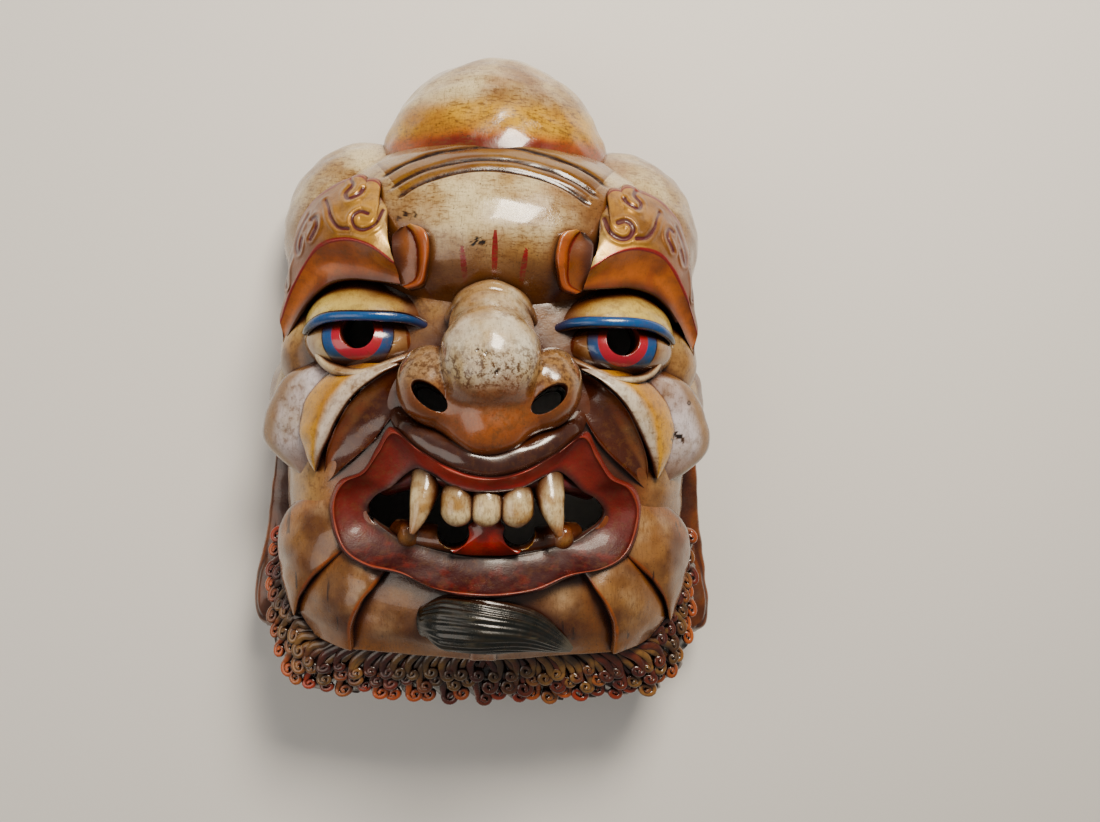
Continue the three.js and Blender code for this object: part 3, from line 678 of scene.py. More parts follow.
# Eyes
# A ball with a pierced pupil ringed in red and blue, a heavy yellow lid over it, a blue moulding along the
# edge of the lid, and a low rim below.
EYE = ((76, 22, 100), (42, 24, 42))
LID = {"centre": (74, 28, 98), "radii": (45, 37, 47), "edge": 37.5}
LID_STEPS, LID_ROWS = 120, 60
LASH_THICKNESS = 7
LASH_STEPS, LASH_SIDES = 160, 28
LOWER_LID = ((38, 19, 122), (56, 11, 131), (78, 3, 134), (98, 6, 124), (113, 22, 103))
IRIS = {"centre": (81, 26.5), "red": 15.8, "blue": 21.8}


def lid_edge(x):
    """The height of the lid's lower edge over the eye, which falls away to both corners."""
    return LID["edge"] - 14 * (np.abs(x) / LID["radii"][0]) ** 4


def lid_surface(x, y):
    """The lid's egg at a place beside its centre and a height."""
    (cx, cy, cz), (rx, ry, rz) = LID["centre"], LID["radii"]
    rise = 1 - (x / rx) ** 2 - ((y - cy) / ry) ** 2
    return np.stack([cx + x, y, cz + rz * np.sqrt(np.maximum(rise, 0))], -1)


def lid_grid():
    """Sections from the lid's lower edge up to its top, closed behind."""
    x = np.linspace(-0.94, 0.94, LID_STEPS)[:, None] * LID["radii"][0]
    edge = lid_edge(x)
    top = LID["centre"][1] + LID["radii"][1] * np.sqrt(1 - (x / LID["radii"][0]) ** 2)
    top = np.maximum(top, edge + 2)
    part = np.linspace(0, 1, LID_ROWS)[None]
    face = lid_surface(x + 0 * part, edge + (top - edge) * part)
    sunk = np.full(x.shape, LID["centre"][2] - 30.0)
    behind = [np.stack([LID["centre"][0] + x, y, sunk], -1) for y in (top + 1, edge)]
    return np.concatenate([face, *behind], 1)


def painted_eyeball():
    paint = Paint("painted_eyeball")
    iris = paint.mark("iris")
    paint.base("C8B080", "8E6230", 40)
    paint.lay("7E3A2C", "corner", 0.3, 1, 0, 0.75)
    paint.lay("7E1814", "stroke", 0.4, 0.7, 0, 0.85)
    # Painted shade: the lower part of the ball browns on the white, and the blue turns dark teal below.
    paint.lay("5E3A1A", paint.along("Y"), 0.010, -0.004, 0, 0.75)
    blue = paint.over(rgb("0A5690"), rgb("183C40"), paint.ramp(paint.along("Y"), 0.014, 0.002))
    paint.lay("120C08", iris, IRIS["blue"] + 1.0, IRIS["blue"] + 0.3)
    in_blue = paint.ramp(iris, IRIS["blue"] + 0.1, IRIS["blue"] - 0.4)
    paint.colour = paint.over(paint.colour, blue, in_blue)
    paint.lay("B00C34", iris, IRIS["red"] + 0.3, IRIS["red"] - 0.3)
    return paint.aged_and_shaded(0.3, 0.7).finish((0.15, 0.3), 0.8, 0.15)


def yellow_lid():
    paint = Paint("yellow_lid")
    paint.base("E0CC70", "CDB868", 30, 3)
    paint.lay("C4B692", paint.sum("ABSOLUTE", paint.along("X")), 0.062, 0.044)
    # Painted shadow: the lid browns towards its top, under the brow.
    paint.lay("6A4014", "rise", 0.55, 0.98, 0, 0.95)
    return paint.aged_and_shaded(0.45, 0.9).finish()


def blue_lash():
    paint = Paint("blue_lash")
    paint.colour = rgb("0E3440")
    paint.lay("0A5894", "middle", 0.2, 0.6)
    paint.lay("08141C", paint.line(paint.mark("turned"), 0.10, 0.05, 0.04))
    paint.lay("2A6298", paint.noise(200, 3), 0.6, 0.8, 0, 0.35)
    return paint.aged_and_shaded(0.2, 0.4).finish((0.18, 0.32), 0.6)


def cream_rim():
    paint = Paint("cream_lower_lid")
    paint.base("D9CDAE", "A98652", 35, 3)
    return paint.aged_and_shaded(0.6, 0.9).finish()


eye_coats = painted_eyeball(), yellow_lid(), blue_lash(), cream_rim()
ball = egg(EYE, 90, 180, 0.7 * np.pi)
ball_marks = {
    "iris": np.hypot(ball[..., 0] - IRIS["centre"][0], ball[..., 1] - IRIS["centre"][1]),
    "corner": smooth(ball[..., 0], 45, 37),
    "stroke": np.exp(-((ball[..., 0] - 47.6 - 0.12 * ball[..., 1]) / 1.2) ** 2) * smooth(ball[..., 1], 8, 14),
}
lid_shape = lid_grid()
rise = {"rise": np.append(np.linspace(0, 1, LID_ROWS), (1, 0))[None]}
x = np.linspace(-0.93, 0.93, 40) * LID["radii"][0]
lash_path = lid_surface(x, lid_edge(x)) + (0, 0, 1)
lash_marks = {
    "middle": bump(np.linspace(0, 1, LASH_STEPS))[:, None],
    "turned": np.linspace(0, 1, LASH_SIDES, endpoint=False)[None]}


def lash_size(u):
    """Half the lash's thickness, which tapers to both corners of the eye."""
    size = LASH_THICKNESS / 2 * (0.4 + 0.6 * bump(u) ** 0.5)
    return size, size


for side, name in SIDES:
    eyeball = carved(f"eyeball_{name}", ball * (side, 1, 1), ball_marks, tooling=0.12)
    fitted(eyeball, eye_coats[0], face_holes)
    fitted(carved(f"upper_lid_{name}", lid_shape * (side, 1, 1), rise), eye_coats[1])
    lash = bar(lash_path * (side, 1, 1), lash_size, LASH_STEPS, LASH_SIDES)
    fitted(carved(f"lash_{name}", lash, lash_marks, tooling=0.15), eye_coats[2])
    lower = bar(on_side(side, LOWER_LID), lambda u: (3.2, 8), 120, 24)
    fitted(carved(f"lower_lid_{name}", lower, tooling=0.3), eye_coats[3])

# Nose
# A broad ball between two wings, a pointed base, a bridge and one wrinkle across its root. It is white above,
# worn to brown specks over the ball, and orange-brown below.
NOSE_HEART = (0, 4, 138)
NOSE = (
    ((0, 12, 170), (30, 31, 30)), ((0, 28, 150), (26, 31, 25)), ((0, -13, 158), (44, 24, 22)),
    ((0, -24, 163), (23, 20, 22)), ((36, -2, 156), (19, 23, 24)), ((-36, -2, 156), (19, 23, 24)))
NOSE_WRINKLE = ((-27, 36, 124), (-15, 48, 147), (0, 53, 153), (15, 48, 147), (27, 36, 124))
NOSE_PITS = ((-2.2, 16, 1.7), (3.7, 5, 1.3), (-7, 17, 0.9))


def white_nose():
    paint = Paint("white_nose")
    paint.base("DDD6C2", "B89E6C", 32)
    wobble = paint.sum("MULTIPLY_ADD", paint.noise(38, 4), 0.018, paint.along("Y"))
    paint.lay("97713E", paint.sum("ABSOLUTE", paint.along("X")), 0.019, 0.032, 0, 0.85)
    fine = paint.ramp(paint.noise(300, 6, (1, 1, 1), 0.8), 0.47, 0.58)
    worn = paint.sum("MULTIPLY", fine, paint.ramp(wobble, 0.032, 0.012, 0.1, 0.95))
    paint.lay("5E3F1C", worn)
    paint.lay("8A4E14", wobble, 0.008, -0.008, 0, 0.92)
    paint.lay("A45C12", wobble, -0.010, -0.028, 0, 0.8)
    paint.lay("160A05", "chip")
    return paint.aged_and_shaded(0.6, 0.9).finish((0.16, 0.34), 0.7)


def nose_reach(rays):
    """The nose's masses, blended."""
    return blended([mass_reach(NOSE_HEART, rays, mass) for mass in NOSE], 4)


nose_coat = white_nose()
grid = star(NOSE_HEART, nose_reach, 1.95, 140, 220)
for x, y, radius in NOSE_PITS:
    away = np.hypot(grid[..., 0] - x, grid[..., 1] - y) + 99 * (grid[..., 2] < NOSE_HEART[2])
    grid[..., 2] -= 1.6 * np.exp(-(away / radius) ** 2)
fitted(carved("nose", grid, {"chip": 0.8 * chipped(grid, NOSE_PITS)}), nose_coat, face_holes)
wrinkle = bar(NOSE_WRINKLE, lambda u: (6.5 * bump(u) ** 0.5 + 0.8, 11 * bump(u) ** 0.5 + 1), 140, 40)
fitted(carved("nose_wrinkle", wrinkle, {"chip": 0.0}), nose_coat)

# Cheeks
# Three folds on each side, each tucked under the one nearer the nose: white with yellow edges, tan below. A
# brown flank runs down from the inner one to the lip.
CHEEK_FOLDS = (
    ("flank", -5,
     ((54, 8, 137), (67, 1, 141), (80, -10, 141), (91, -25, 136), (101, -45, 127), (104, -62, 118)),
     ((46, 2, 126), (52, -10, 132), (60, -24, 136), (71, -40, 136), (85, -55, 134), (99, -70, 124))),
    ("inner", 7,
     ((54, 9, 140), (67, 2, 144), (80, -9, 144), (91, -24, 139), (101, -44, 130), (104, -58, 122)),
     ((84, 9, 130), (101, 1, 124), (114, -13, 119), (118, -31, 118), (114, -48, 119), (110, -60, 118))),
    ("outer", 8,
     ((84, 8, 122), (98, 0, 121), (106, -20, 118), (106, -42, 116), (104, -62, 112)),
     ((112, 10, 106), (130, 0, 101), (143, -20, 93), (146, -42, 90), (130, -63, 96))),
    ("rear", 3,
     ((112, 20, 100), (122, 12, 94), (132, 0, 88), (138, -20, 82), (138, -44, 80)),
     ((126, 22, 84), (138, 12, 72), (145, 0, 66), (148, -20, 62), (146, -44, 62))))
CHEEK_CHIPS = ((118, -31, 1.6), (122, -32, 2.0), (124, -35, 1.3), (115, -34, 1.2), (128, -11, 1.4))


def cheek_paint(name, body, edge, foot, edge_start):
    """A pale body, a tinted outer edge with a dark red line at its very rim, and a brown foot. Brown along
    the other edge is painted shade in the crease where the fold meets its neighbour.
    """
    paint = Paint(name)
    paint.colour = rgb(body)
    paint.lay("A58C5E", paint.noise(26, 5), 0.42, 0.7, 0, 0.85)
    paint.lay(foot, "along", 0.60, 1.0, 0, 0.85)
    wobble = paint.sum("MULTIPLY_ADD", paint.noise(30, 4), 0.3, paint.mark("over"))
    paint.lay(edge, wobble, edge_start + 0.08, edge_start + 0.3)
    paint.lay("5A2010", "over", 0.93, 0.985, 0, 0.9)
    # Painted shade in the crease along the fold's first edge.
    paint.lay("74441A", "over", 0.05, 0.0, 0, 0.7)
    paint.lay("1C140E", "chip")
    return paint.aged_and_shaded(0.6, 0.9, soot_and_shade="55280C").finish((0.16, 0.34), 0.6)


cheek_coats = {
    "flank": cheek_paint("brown_flank", "8A4E20", "54280E", "9A5A20", 0.30),
    "inner": cheek_paint("white_inner_fold", "E6E0D2", "CC9A06", "9A6A2C", 0.36),
    "outer": cheek_paint("white_outer_fold", "D6CED2", "94703C", "86603E", 0.70),
    "rear": cheek_paint("cream_rear_fold", "CDB78A", "7A4C20", "7A5026", 0.5),
}
for side, name in SIDES:
    for fold, swell, first, second in CHEEK_FOLDS:
        end = 0.55 if fold == "flank" else 0.3
        shape = petal(on_side(side, first), on_side(side, second), swell, end=end)
        marks = petal_marks() | {"chip": chipped(shape, CHEEK_CHIPS)}
        fitted(carved(f"cheek_{fold}_{name}", shape, marks), cheek_coats[fold])

# Lips
# A broad lip stands out all the way round, drawn down in the middle and up over the fangs, and slopes in to
# the opening. Its crest is a crisp edge.
LIP_CREST = (
    (0, -57, 175), (20, -53, 173), (40, -42, 167), (56, -32, 160), (65, -44, 154), (74, -57, 149),
    (87, -64, 142), (93, -77, 138), (91, -93, 138), (84, -105, 143), (70, -112, 149), (50, -115, 156),
    (28, -123, 162), (0, -126, 164))
LIP_STEPS, LIP_COLUMNS = 420, 40


def red_lip():
    paint = Paint("red_lip")
    inward = paint.mark("inward")
    paint.colour = rgb("440B08")
    paint.lay("80200C", paint.along("Y"), -0.118, -0.076)
    middle = paint.ramp(paint.sum("ABSOLUTE", paint.along("X")), 0.058, 0.026)
    bright = paint.sum("MULTIPLY", middle, paint.ramp(paint.along("Y"), -0.090, -0.076))
    paint.lay("B4280A", bright)
    paint.lay("8A2A14", paint.noise(110, 5), 0.48, 0.72, 0, 0.5)
    paint.lay("9A4016", paint.line(inward, 0.0, 0.022, 0.03))
    paint.lay("220604", inward, 0.72, 1.0, 0, 0.85)
    return paint.aged_and_shaded(0.35, 0.7, soot_and_shade="240804").finish((0.40, 0.58), 0.12, 0.35)


share = np.linspace(0, 1, LIP_STEPS, endpoint=False)
crest, opening = (
    through(both_halves(edge), share, closed=True)[:, None] for edge in (LIP_CREST, LIP_OPENING))
part = np.linspace(0, 1, LIP_COLUMNS)[None, :, None]
slope = crest + (opening - crest) * part
slope[..., 2] += 0.5 * np.exp(-((part[..., 0] - 0.02) / 0.03) ** 2) - 3.2 * bump(part[..., 0]) ** 0.7
shoulder = [
    crest + (crest - opening) * 0.16 * step - (0, 0, 9 * step * step) for step in (1, 0.75, 0.5, 0.25)]
shape = np.concatenate([*shoulder, slope, opening - (0, 0, 24), crest - (0, 0, 44)], 1)
places = (0, 3, 4, LIP_COLUMNS + 3, LIP_COLUMNS + 5)
inward = np.interp(np.arange(shape.shape[1]), places, (-0.3, -0.06, 0, 1, 1.2))[None]
fitted(carved("lips", shape, {"inward": inward}, ring=True), red_lip())

# Upper-lip roll
# A dark, glossy roll under the nose that fades into the cheeks.
LIP_ROLL = (
    (-60, -17, 118), (-46, -31, 150), (-22, -43, 160), (0, -48, 162), (22, -43, 160), (46, -31, 150),
    (60, -17, 118))
ROLL_STEPS = 200


def dark_roll():
    paint = Paint("dark_lip_roll")
    paint.colour = rgb("6E3A1A")
    paint.lay("40241E", "middle", 0.1, 0.6)
    paint.lay("54342C", paint.noise(90, 4), 0.35, 0.75, 0, 0.7)
    return paint.aged_and_shaded(0.3, 0.7).finish((0.2, 0.32), 0.6, 0.12)


def roll_size(u):
    """The roll's half width and half depth, full in the middle and thin at the ends."""
    full = 0.15 + 0.85 * bump(u) ** 0.6
    return 10.5 * full, 11 * full


shape = bar(LIP_ROLL, roll_size, ROLL_STEPS, 40)
fitted(carved("upper_lip_roll", shape, {"middle": bump(np.linspace(0, 1, ROLL_STEPS))[:, None]}), dark_roll())

# Teeth and tongue
# Three round incisors between two fangs hang from a gum, two stubs stand below, and the red tongue lies
# between two holes that the dancer looks through.
INCISOR_RADIUS = 9.8
INCISOR_PITCH = 17.6
INCISOR = ((-63, 150), (-70, 157), (-80, 158), (-86, 156))
FANG_RADIUS = 10
FANG = ((36, -52, 142), (36.5, -62, 150), (39, -76, 157), (44, -91.5, 160))
STUB = ((45, -101, 126), (47, -96, 135), (49, -89, 142))
UPPER_GUM = ((-62, -66, 120), (-34, -58, 144), (0, -64, 152), (34, -58, 144), (62, -66, 120))
GUM_SIDES = 28
TOOTH_STEPS = 70
LOWER_GUM = ((-52, -95, 116), (-38, -97, 129), (0, -100, 137), (38, -97, 129), (52, -95, 116))
TONGUE = ((-29, 10), (-28, 19), (-24, 23), (-18, 18), (-10, 8.5), (0, 8), (12, 14))


def tooth_paint(name, body, root):
    """A pale body, brown at the root as painted shade where the tooth goes in, and orange-brown towards the
    tip.
    """
    paint = Paint(name)
    paint.base(body, "A5824A", 70, 4, (0.4, 0.7))
    # Painted shade: brown at the root, where the tooth goes into the mouth.
    paint.lay(root, "tip", 0.55, 0.1, 0, 0.95)
    paint.lay("8A4E1A", "tip", 0.72, 1.0, 0, 0.8)
    return paint.aged_and_shaded(0.5, 0.9, (3, 1, 1)).finish((0.15, 0.32), 0.7)


def gum_paint(name, body, shade, rim=None):
    """Wet-looking flesh in two shades. A gum may have a pale rim along its lower edge."""
    paint = Paint(name)
    paint.base(body, shade, 70, 3)
    if rim:
        paint.lay(rim, paint.line(paint.mark("turned"), 0.07, 0.045, 0.04))
    return paint.aged_and_shaded(0.3, 0.6).finish((0.2, 0.35), 0.6)


def incisor_size(u):
    """Full in the middle and rounded off below."""
    size = INCISOR_RADIUS * (0.90 + 0.16 * smooth(u, 0, 0.4)) * np.sqrt(1 - 0.97 * smooth(u, 0.6, 1.02) ** 2)
    return size, size


tongue_holes = []
for side in (-1, 1):
    hole = np.column_stack([side * 20 + 10 * np.cos(circle), 10 * np.sin(circle) - 92])
    tongue_holes.append(carved(f"tongue_hole_{side}", straight(hole, 80, 180), tooling=0))
upper_gum = carved("upper_gum", bar(UPPER_GUM, lambda u: (7, 10), 120, GUM_SIDES))
fitted(upper_gum, gum_paint("pink_gum", "7A2634", "4A1A26"))
turned = {"turned": np.linspace(0, 1, GUM_SIDES, endpoint=False)[None]}
lower_gum = carved("lower_gum", bar(LOWER_GUM, lambda u: (8, 12), 120, GUM_SIDES), turned)
fitted(lower_gum, gum_paint("brown_gum", "6A3A16", "3A1C0C", "C09A44"), tongue_holes)
ivory = tooth_paint("ivory_tooth", "DCCBA2", "4A2A12")
tip = {"tip": np.linspace(0, 1, TOOTH_STEPS)[:, None]}
for place, name in ((-1, "left"), (0, "middle"), (1, "right")):
    path = [(place * INCISOR_PITCH, y, z) for y, z in INCISOR]
    fitted(carved(f"incisor_{name}", bar(path, incisor_size, TOOTH_STEPS, 36), tip, tooling=0.15), ivory)
brown_tooth = tooth_paint("brown_stub", "A47438", "3A1E0C")
for side, name in SIDES:
    fang = bar(on_side(side, FANG), lambda u: (FANG_RADIUS * (1 - 0.85 * u ** 2.4),) * 2, TOOTH_STEPS, 36)
    fitted(carved(f"fang_{name}", fang, tip, tooling=0.2), ivory)
    stub = bar(on_side(side, STUB), lambda u: (9 - 6 * u * u,) * 2, TOOTH_STEPS, 28)
    fitted(carved(f"lower_stub_{name}", stub, tip, tooling=0.2), brown_tooth)
half = np.array([(wide, -76 + rise) for rise, wide in TONGUE], float)
outline = np.vstack([half, half[::-1] * (-1, 1)])
shape = straight(outline, 118, 152)
shape[..., 2] -= 0.7 * np.maximum(0, -101 - shape[..., 1])
fitted(carved("tongue", shape, tooling=0), gum_paint("red_tongue", "D0300C", "9A1C0A"), tongue_holes)

# Jowls
# Three overlapping folds on each side run from the lip round the jaw to the chin: tan, with orange edges,
# painted shade in the creases, a painted highlight along each raised edge, and fine upright cracks.
JOWLS = (
    ("upper", 9, ((86, -106, 133), (96, -114, 132), (106, -124, 127), (115, -137, 118), (120, -152, 107)),
     ((93, -72, 124), (117, -77, 106), (133, -97, 97), (134, -124, 90), (123, -152, 99))),
    ("middle", 7, ((60, -116, 142), (68, -127, 145), (76, -139, 143), (81, -153, 136), (82, -170, 125)),
     ((84, -103, 134), (97, -111, 126), (112, -126, 114), (120, -146, 104), (108, -164, 106))),
    ("chin", 6, ((-8, -122, 147), (-8, -134, 153), (-8, -148, 153), (-8, -160, 148), (-8, -172, 137)),
     ((62, -116, 136), (78, -125, 131), (88, -140, 124), (90, -156, 120), (88, -171, 114))))


def tan_jowl():
    paint = Paint("tan_jowl")
    over = paint.mark("over")
    paint.base("9C7440", "643E20", 28)
    paint.lay("C4AA86", paint.noise(18, 4), 0.50, 0.68, 0, 0.75)
    wobble = paint.sum("MULTIPLY_ADD", paint.noise(30, 4), 0.25, over)
    paint.lay("9C6216", wobble, 0.80, 1.10, 0, 0.85)
    # Painted shade: dark in the crease along the tucked edge, under the fold that lies over it.
    paint.lay("4E2610", over, 0.90, 1.0, 0, 0.8)
    # Painted highlight: a thin orange line along the raised edge, where light catches it.
    paint.lay("A2580E", paint.line(over, 0.03, 0.03, 0.04))
    paint.lay("A06A24", "along", 0.72, 1.0, 0, 0.8)
    paint.lay("2A150A", paint.noise(130, 3, (1, 0.12, 0.5)), 0.645, 0.675, 0, 0.8)
    return paint.aged_and_shaded(0.65, 0.95, (4, 1, 1), "42200A").finish((0.2, 0.4), 0.5)


jowl_coat = tan_jowl()
for side, name in SIDES:
    for fold, swell, first, second in JOWLS:
        shape = petal(on_side(side, first), on_side(side, second), swell)
        fitted(carved(f"jowl_{fold}_{name}", shape, petal_marks()), jowl_coat)

# Tuft
# A tuft of black beard, combed to the right in long strands.
TUFT_STEPS, TUFT_SIDES = 160, 130
TUFT = ((-37, -146, 146), (-26, -145, 153), (0, -146, 159), (28, -150, 154), (54, -164, 139))


def black_tuft():
    paint = Paint("black_tuft")
    paint.colour = rgb("0C0A07")
    paint.lay("2A2618", "strand", 0.45, 1.0, 0, 0.85)
    paint.lay("6E6A5C", "along", 0.84, 0.98, 0, 0.6)
    paint.lay("55503E", paint.noise(160, 4, (0.3, 2, 1)), 0.58, 0.72, 0, 0.6)
    return paint.aged_and_shaded(0.1, 0.4).finish((0.22, 0.42), 0.35)


def tuft_size(u):
    """The tuft's half width and half depth, thick at the root and drawn to a tip."""
    thick = (0.55 + 0.45 * smooth(u, 0, 0.18)) * (1 - 0.88 * u ** 3)
    return 17 * thick, 11 * thick


shape = bar(TUFT, tuft_size, TUFT_STEPS, TUFT_SIDES)
along = np.linspace(0, 1, TUFT_STEPS)[:, None]
turned = np.linspace(0, 2 * np.pi, TUFT_SIDES, endpoint=False)[None]
bent = 17 * turned + 2.6 * np.sin(3.2 * along + 2 * turned)
strand = 0.5 + 0.5 * np.cos(bent) * np.cos(9 * turned + 5 * along)
middle = shape.mean(1, keepdims=True)
shape = middle + (shape - middle) * (1 + 0.12 * (strand - 0.7) * smooth(along, 0.0, 0.1))[..., None]
fitted(carved("beard_tuft", shape, {"strand": strand, "along": along}, tooling=0.1), black_tuft())

# Beard fringe
# A collar round the jaw with a lobed edge, covered in three rows of flat locks that each wind up in a volute.
# It is bronze and maroon, with orange on the fronts of the outer row, partly painted highlight.
FRINGE_CURLS = 21
FRINGE_STEPS, COLLAR_COLUMNS, ROOT_COLUMNS = 400, 40, 8
FRINGE_INNER = (
    (-124, -96, 84), (-126, -130, 90), (-112, -162, 100), (-84, -170, 108), (0, -170, 116),
    (84, -170, 108), (112, -162, 100), (126, -130, 90), (124, -96, 84))
FRINGE_EDGE = (
    (-137, -96, 70), (-140, -134, 74), (-137, -170, 79), (-128, -191, 83), (-104, -203, 88), (0, -206, 96),
    (104, -203, 88), (128, -191, 83), (137, -170, 79), (140, -134, 74), (137, -96, 70))
LOCKS = 41
LOCK_ROWS = ((24, 3.4), (15, 3.8), (6, 4.3))
LOCK_STEPS = 48


def dark_bronze(name, first, second, front):
    """Bronze over maroon, dark in the hollows with grime and painted shade, and with one more colour on what
    stands proud, which is partly a painted highlight.
    """
    paint = Paint(name)
    paint.base(first, second, 60)
    paint.lay("5E1A16", paint.noise(75, 4), 0.50, 0.66, 0, 0.7)
    # Partly painted highlight: the front colour on what stands proud.
    paint.lay(front, "front", 0.55, 1.0, 0, 0.85)
    return paint.aged_and_shaded(0.4, 0.95, soot_and_shade="2A1206").finish((0.2, 0.38), 0.5)


share = np.linspace(0, 1, FRINGE_STEPS)
near, far = evenly(FRINGE_INNER, share)[:, None], evenly(FRINGE_EDGE, share)[:, None]
outwards = (far - near) * (1, 1, 0)
outwards /= np.linalg.norm(outwards, axis=2, keepdims=True)
sideways = np.gradient(far, axis=0)
sideways /= np.linalg.norm(sideways, axis=2, keepdims=True)
curl = np.minimum(1, 1.16 * np.abs(np.sin(np.pi * FRINGE_CURLS * share)) ** 0.7)[:, None]
far = far + outwards * (-4 + 8 * curl)[..., None] + sideways * (4 * curl ** 1.5)[..., None]
root = near * (0.93, 0.95, 1) - (0, 0, 3)
out_share = np.linspace(0, 1, COLLAR_COLUMNS)[None, :, None]
collar = near + (far - near) * out_share
collar[..., 2] += 5 * np.sin(np.pi * out_share[..., 0])
under = collar - (0, 0, 2)
under[..., 2] += 1.2 * waves(under, 9, 8)
steps = np.linspace(0, 1, ROOT_COLUMNS + 1)[None, :-1, None]
shape = np.concatenate([root + (under[:, :1] - root) * steps, under, far - (0, 0, 16), root - (0, 0, 47)], 1)
edge = ROOT_COLUMNS + COLLAR_COLUMNS - 1
front = np.interp(np.arange(shape.shape[1]), (edge - 11, edge, edge + 2), (0, 0.7, 0.4))[None]
collar_coat = dark_bronze("collar_bronze", "54381C", "2E1A0C", "6E2A12")
fitted(carved("beard_collar", shape, {"front": front}), collar_coat)


def lock_path(place, inset, radius, turns):
    """A lock leaves the jaw, bends sideways and winds up in a volute, whose size shrinks evenly to its heart.
    The volute lies inside the collar's edge by the inset."""
    index = int(np.clip(place, 0.004, 0.996) * (FRINGE_STEPS - 1))
    span = np.linalg.norm(far[index, 0] - near[index, 0])
    share = np.clip(1 - inset / span, 0.12, 1)
    out, turn = outwards[index, 0], sideways[index, 0] * (1 if place > 0.5 else -1)
    heart = collar[index, int((COLLAR_COLUMNS - 1) * share)]
    angle = np.linspace(0, turns * 2 * np.pi, 34)
    size = radius * (1 - 0.80 * angle / angle[-1])
    volute = heart + turn * (size * np.cos(angle))[:, None] + out * (size * np.sin(angle))[:, None]
    volute[:, 2] += 1 + 2.2 * angle / angle[-1]
    run = np.linspace(0, 1, 15)[:-1, None]
    start = collar[index, 0] - out * 5
    stem = start + (volute[0] - start) * run - turn * 3.5 * np.sin(2 * np.pi * run ** 0.8) * (1 - run * 0.5)
    stem[:, 2] += 2.5 * np.sin(np.pi * run[:, 0])
    return np.vstack([stem, volute])


chance = np.random.default_rng(7)
locks = {"bronze": [], "maroon": []}
for row, (inset, radius) in enumerate(LOCK_ROWS):
    for lock in range(LOCKS):
        place = (lock + 0.5 + 0.5 * (row % 2) + chance.uniform(-0.2, 0.2)) / (LOCKS + 0.5)
        size = radius * chance.uniform(0.8, 1.2)
        path = lock_path(place, inset + chance.uniform(-1.5, 1.5), size, chance.uniform(1.1, 1.5))
        tube = bar(path, lambda u: (3.5 - 1.8 * u, 2.1 - 0.6 * u), LOCK_STEPS, 10)
        curled = smooth(np.linspace(0, 1, LOCK_STEPS), 0.25, 0.6)[:, None]
        # The front share grows on the curled part and on the outer rows: partly orange paint, partly painted
        # highlight.
        lit = chance.uniform(0, 0.4) + (0.1 + 0.25 * row) * curled
        tint = "maroon" if chance.uniform() < 0.33 else "bronze"
        piece = carved(f"{tint}_lock_{row}_{lock}", tube, {"front": lit}, tooling=0.1)
        locks[tint].append(piece)
lock_coats = {
    "bronze": dark_bronze("bronze_locks", "8E6C3A", "4C3820", "CC661C"),
    "maroon": dark_bronze("maroon_locks", "6E3420", "401816", "B84418")}
for tint, pieces in locks.items():
    with bpy.context.temp_override(active_object=pieces[0], selected_editable_objects=pieces):
        bpy.ops.object.join()
    pieces[0].name = f"{tint}_locks"
    fitted(pieces[0], lock_coats[tint])

# Ears
# They lie flat against the sides of the head, with long grooved lobes that hang down to the fringe.
EAR = (
    (46, 60, 42, 130), (34, 66, 24, 136), (2, 66, 20, 140), (-52, 50, 30, 147), (-100, 52, 28, 151),
    (-146, 56, 24, 158), (-166, 54, 27, 157), (-174, 46, 33, 151))
EAR_ROOT = 118
EAR_STEPS, EAR_SIDES = 200, 80


def orange_ear():
    paint = Paint("orange_ear")
    paint.base("8E5220", "5E3214", 40)
    paint.lay("421610", "groove", 0.4, 0.9, 0, 0.8)
    return paint.aged_and_shaded(0.5, 0.9, soot_and_shade="4A240C").finish()


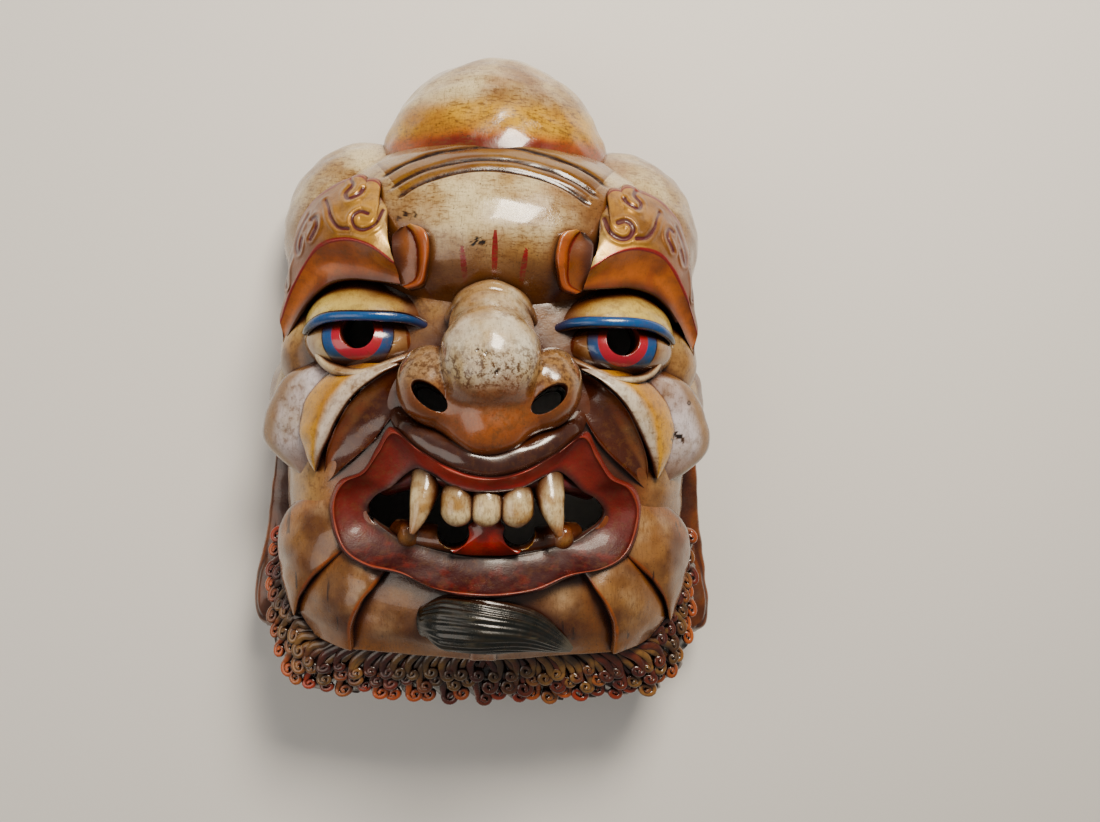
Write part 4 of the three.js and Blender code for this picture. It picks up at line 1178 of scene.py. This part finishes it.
ear_coat = orange_ear()
height, front, back, out = through(EAR, np.linspace(0, 1, EAR_STEPS)).T[:, :, None]
turned = np.linspace(0, 2 * np.pi, EAR_SIDES, endpoint=False)[None]
wide, deep = (np.sign(wave) * np.abs(wave) ** 0.45 for wave in (np.cos(turned), np.sin(turned)))
x = (out + EAR_ROOT) / 2 + (out - EAR_ROOT) / 2 * wide
z = (front + back) / 2 + (front - back) / 2 * deep
groove = (0.5 + 0.5 * np.cos(2 * np.pi * z / 7.5)) ** 3 * (wide > 0.6) * smooth(height, 10, -40)
shape = np.stack([x - 1.2 * groove, height + 0 * z, z], -1)
for side, name in SIDES:
    fitted(carved(f"ear_{name}", shape * (side, 1, 1), {"groove": groove}), ear_coat)

for tool in (hollow, below_back, *face_holes, *tongue_holes):
    bpy.data.objects.remove(tool)

# The floor and the light
# A plain pale floor, a large soft light above the crown, a weaker one to the left, and an even pale sky.
floor_mesh = bpy.data.meshes.new("floor")
floor_mesh.from_pydata([(-4, -4, 0), (4, -4, 0), (4, 4, 0), (-4, 4, 0)], [], [(0, 1, 2, 3)])
floor = bpy.data.objects.new("floor", floor_mesh)
bpy.context.collection.objects.link(floor)
floor_paint = Paint("pale_floor")
floor_paint.shader.inputs["Base Color"].default_value = (0.78, 0.77, 0.75, 1)
floor_paint.shader.inputs["Roughness"].default_value = 0.7
floor_mesh.materials.append(floor_paint.material)


def soft_light(name, spot, size, power, tint):
    """A square area light that faces the mask."""
    data = bpy.data.lights.new(name, "AREA")
    data.size = size
    data.energy = power
    data.color = tint
    lamp = bpy.data.objects.new(name, data)
    lamp.location = spot
    lamp.rotation_euler = (Vector(spot) - Vector((0, 0, 0.1))).to_track_quat("Z", "Y").to_euler()
    bpy.context.collection.objects.link(lamp)


soft_light("key_light", (0.28, 0.80, 1.10), 0.45, 29, (1, 0.88, 0.72))
soft_light("fill_light", (-0.9, -0.2, 1.1), 1.0, 6, (1, 0.91, 0.80))
world = bpy.data.worlds.new("pale_sky")
bpy.context.scene.world = world
world.use_nodes = True
world.node_tree.nodes["Background"].inputs[0].default_value = (1, 0.98, 0.95, 1)
world.node_tree.nodes["Background"].inputs[1].default_value = 0.20
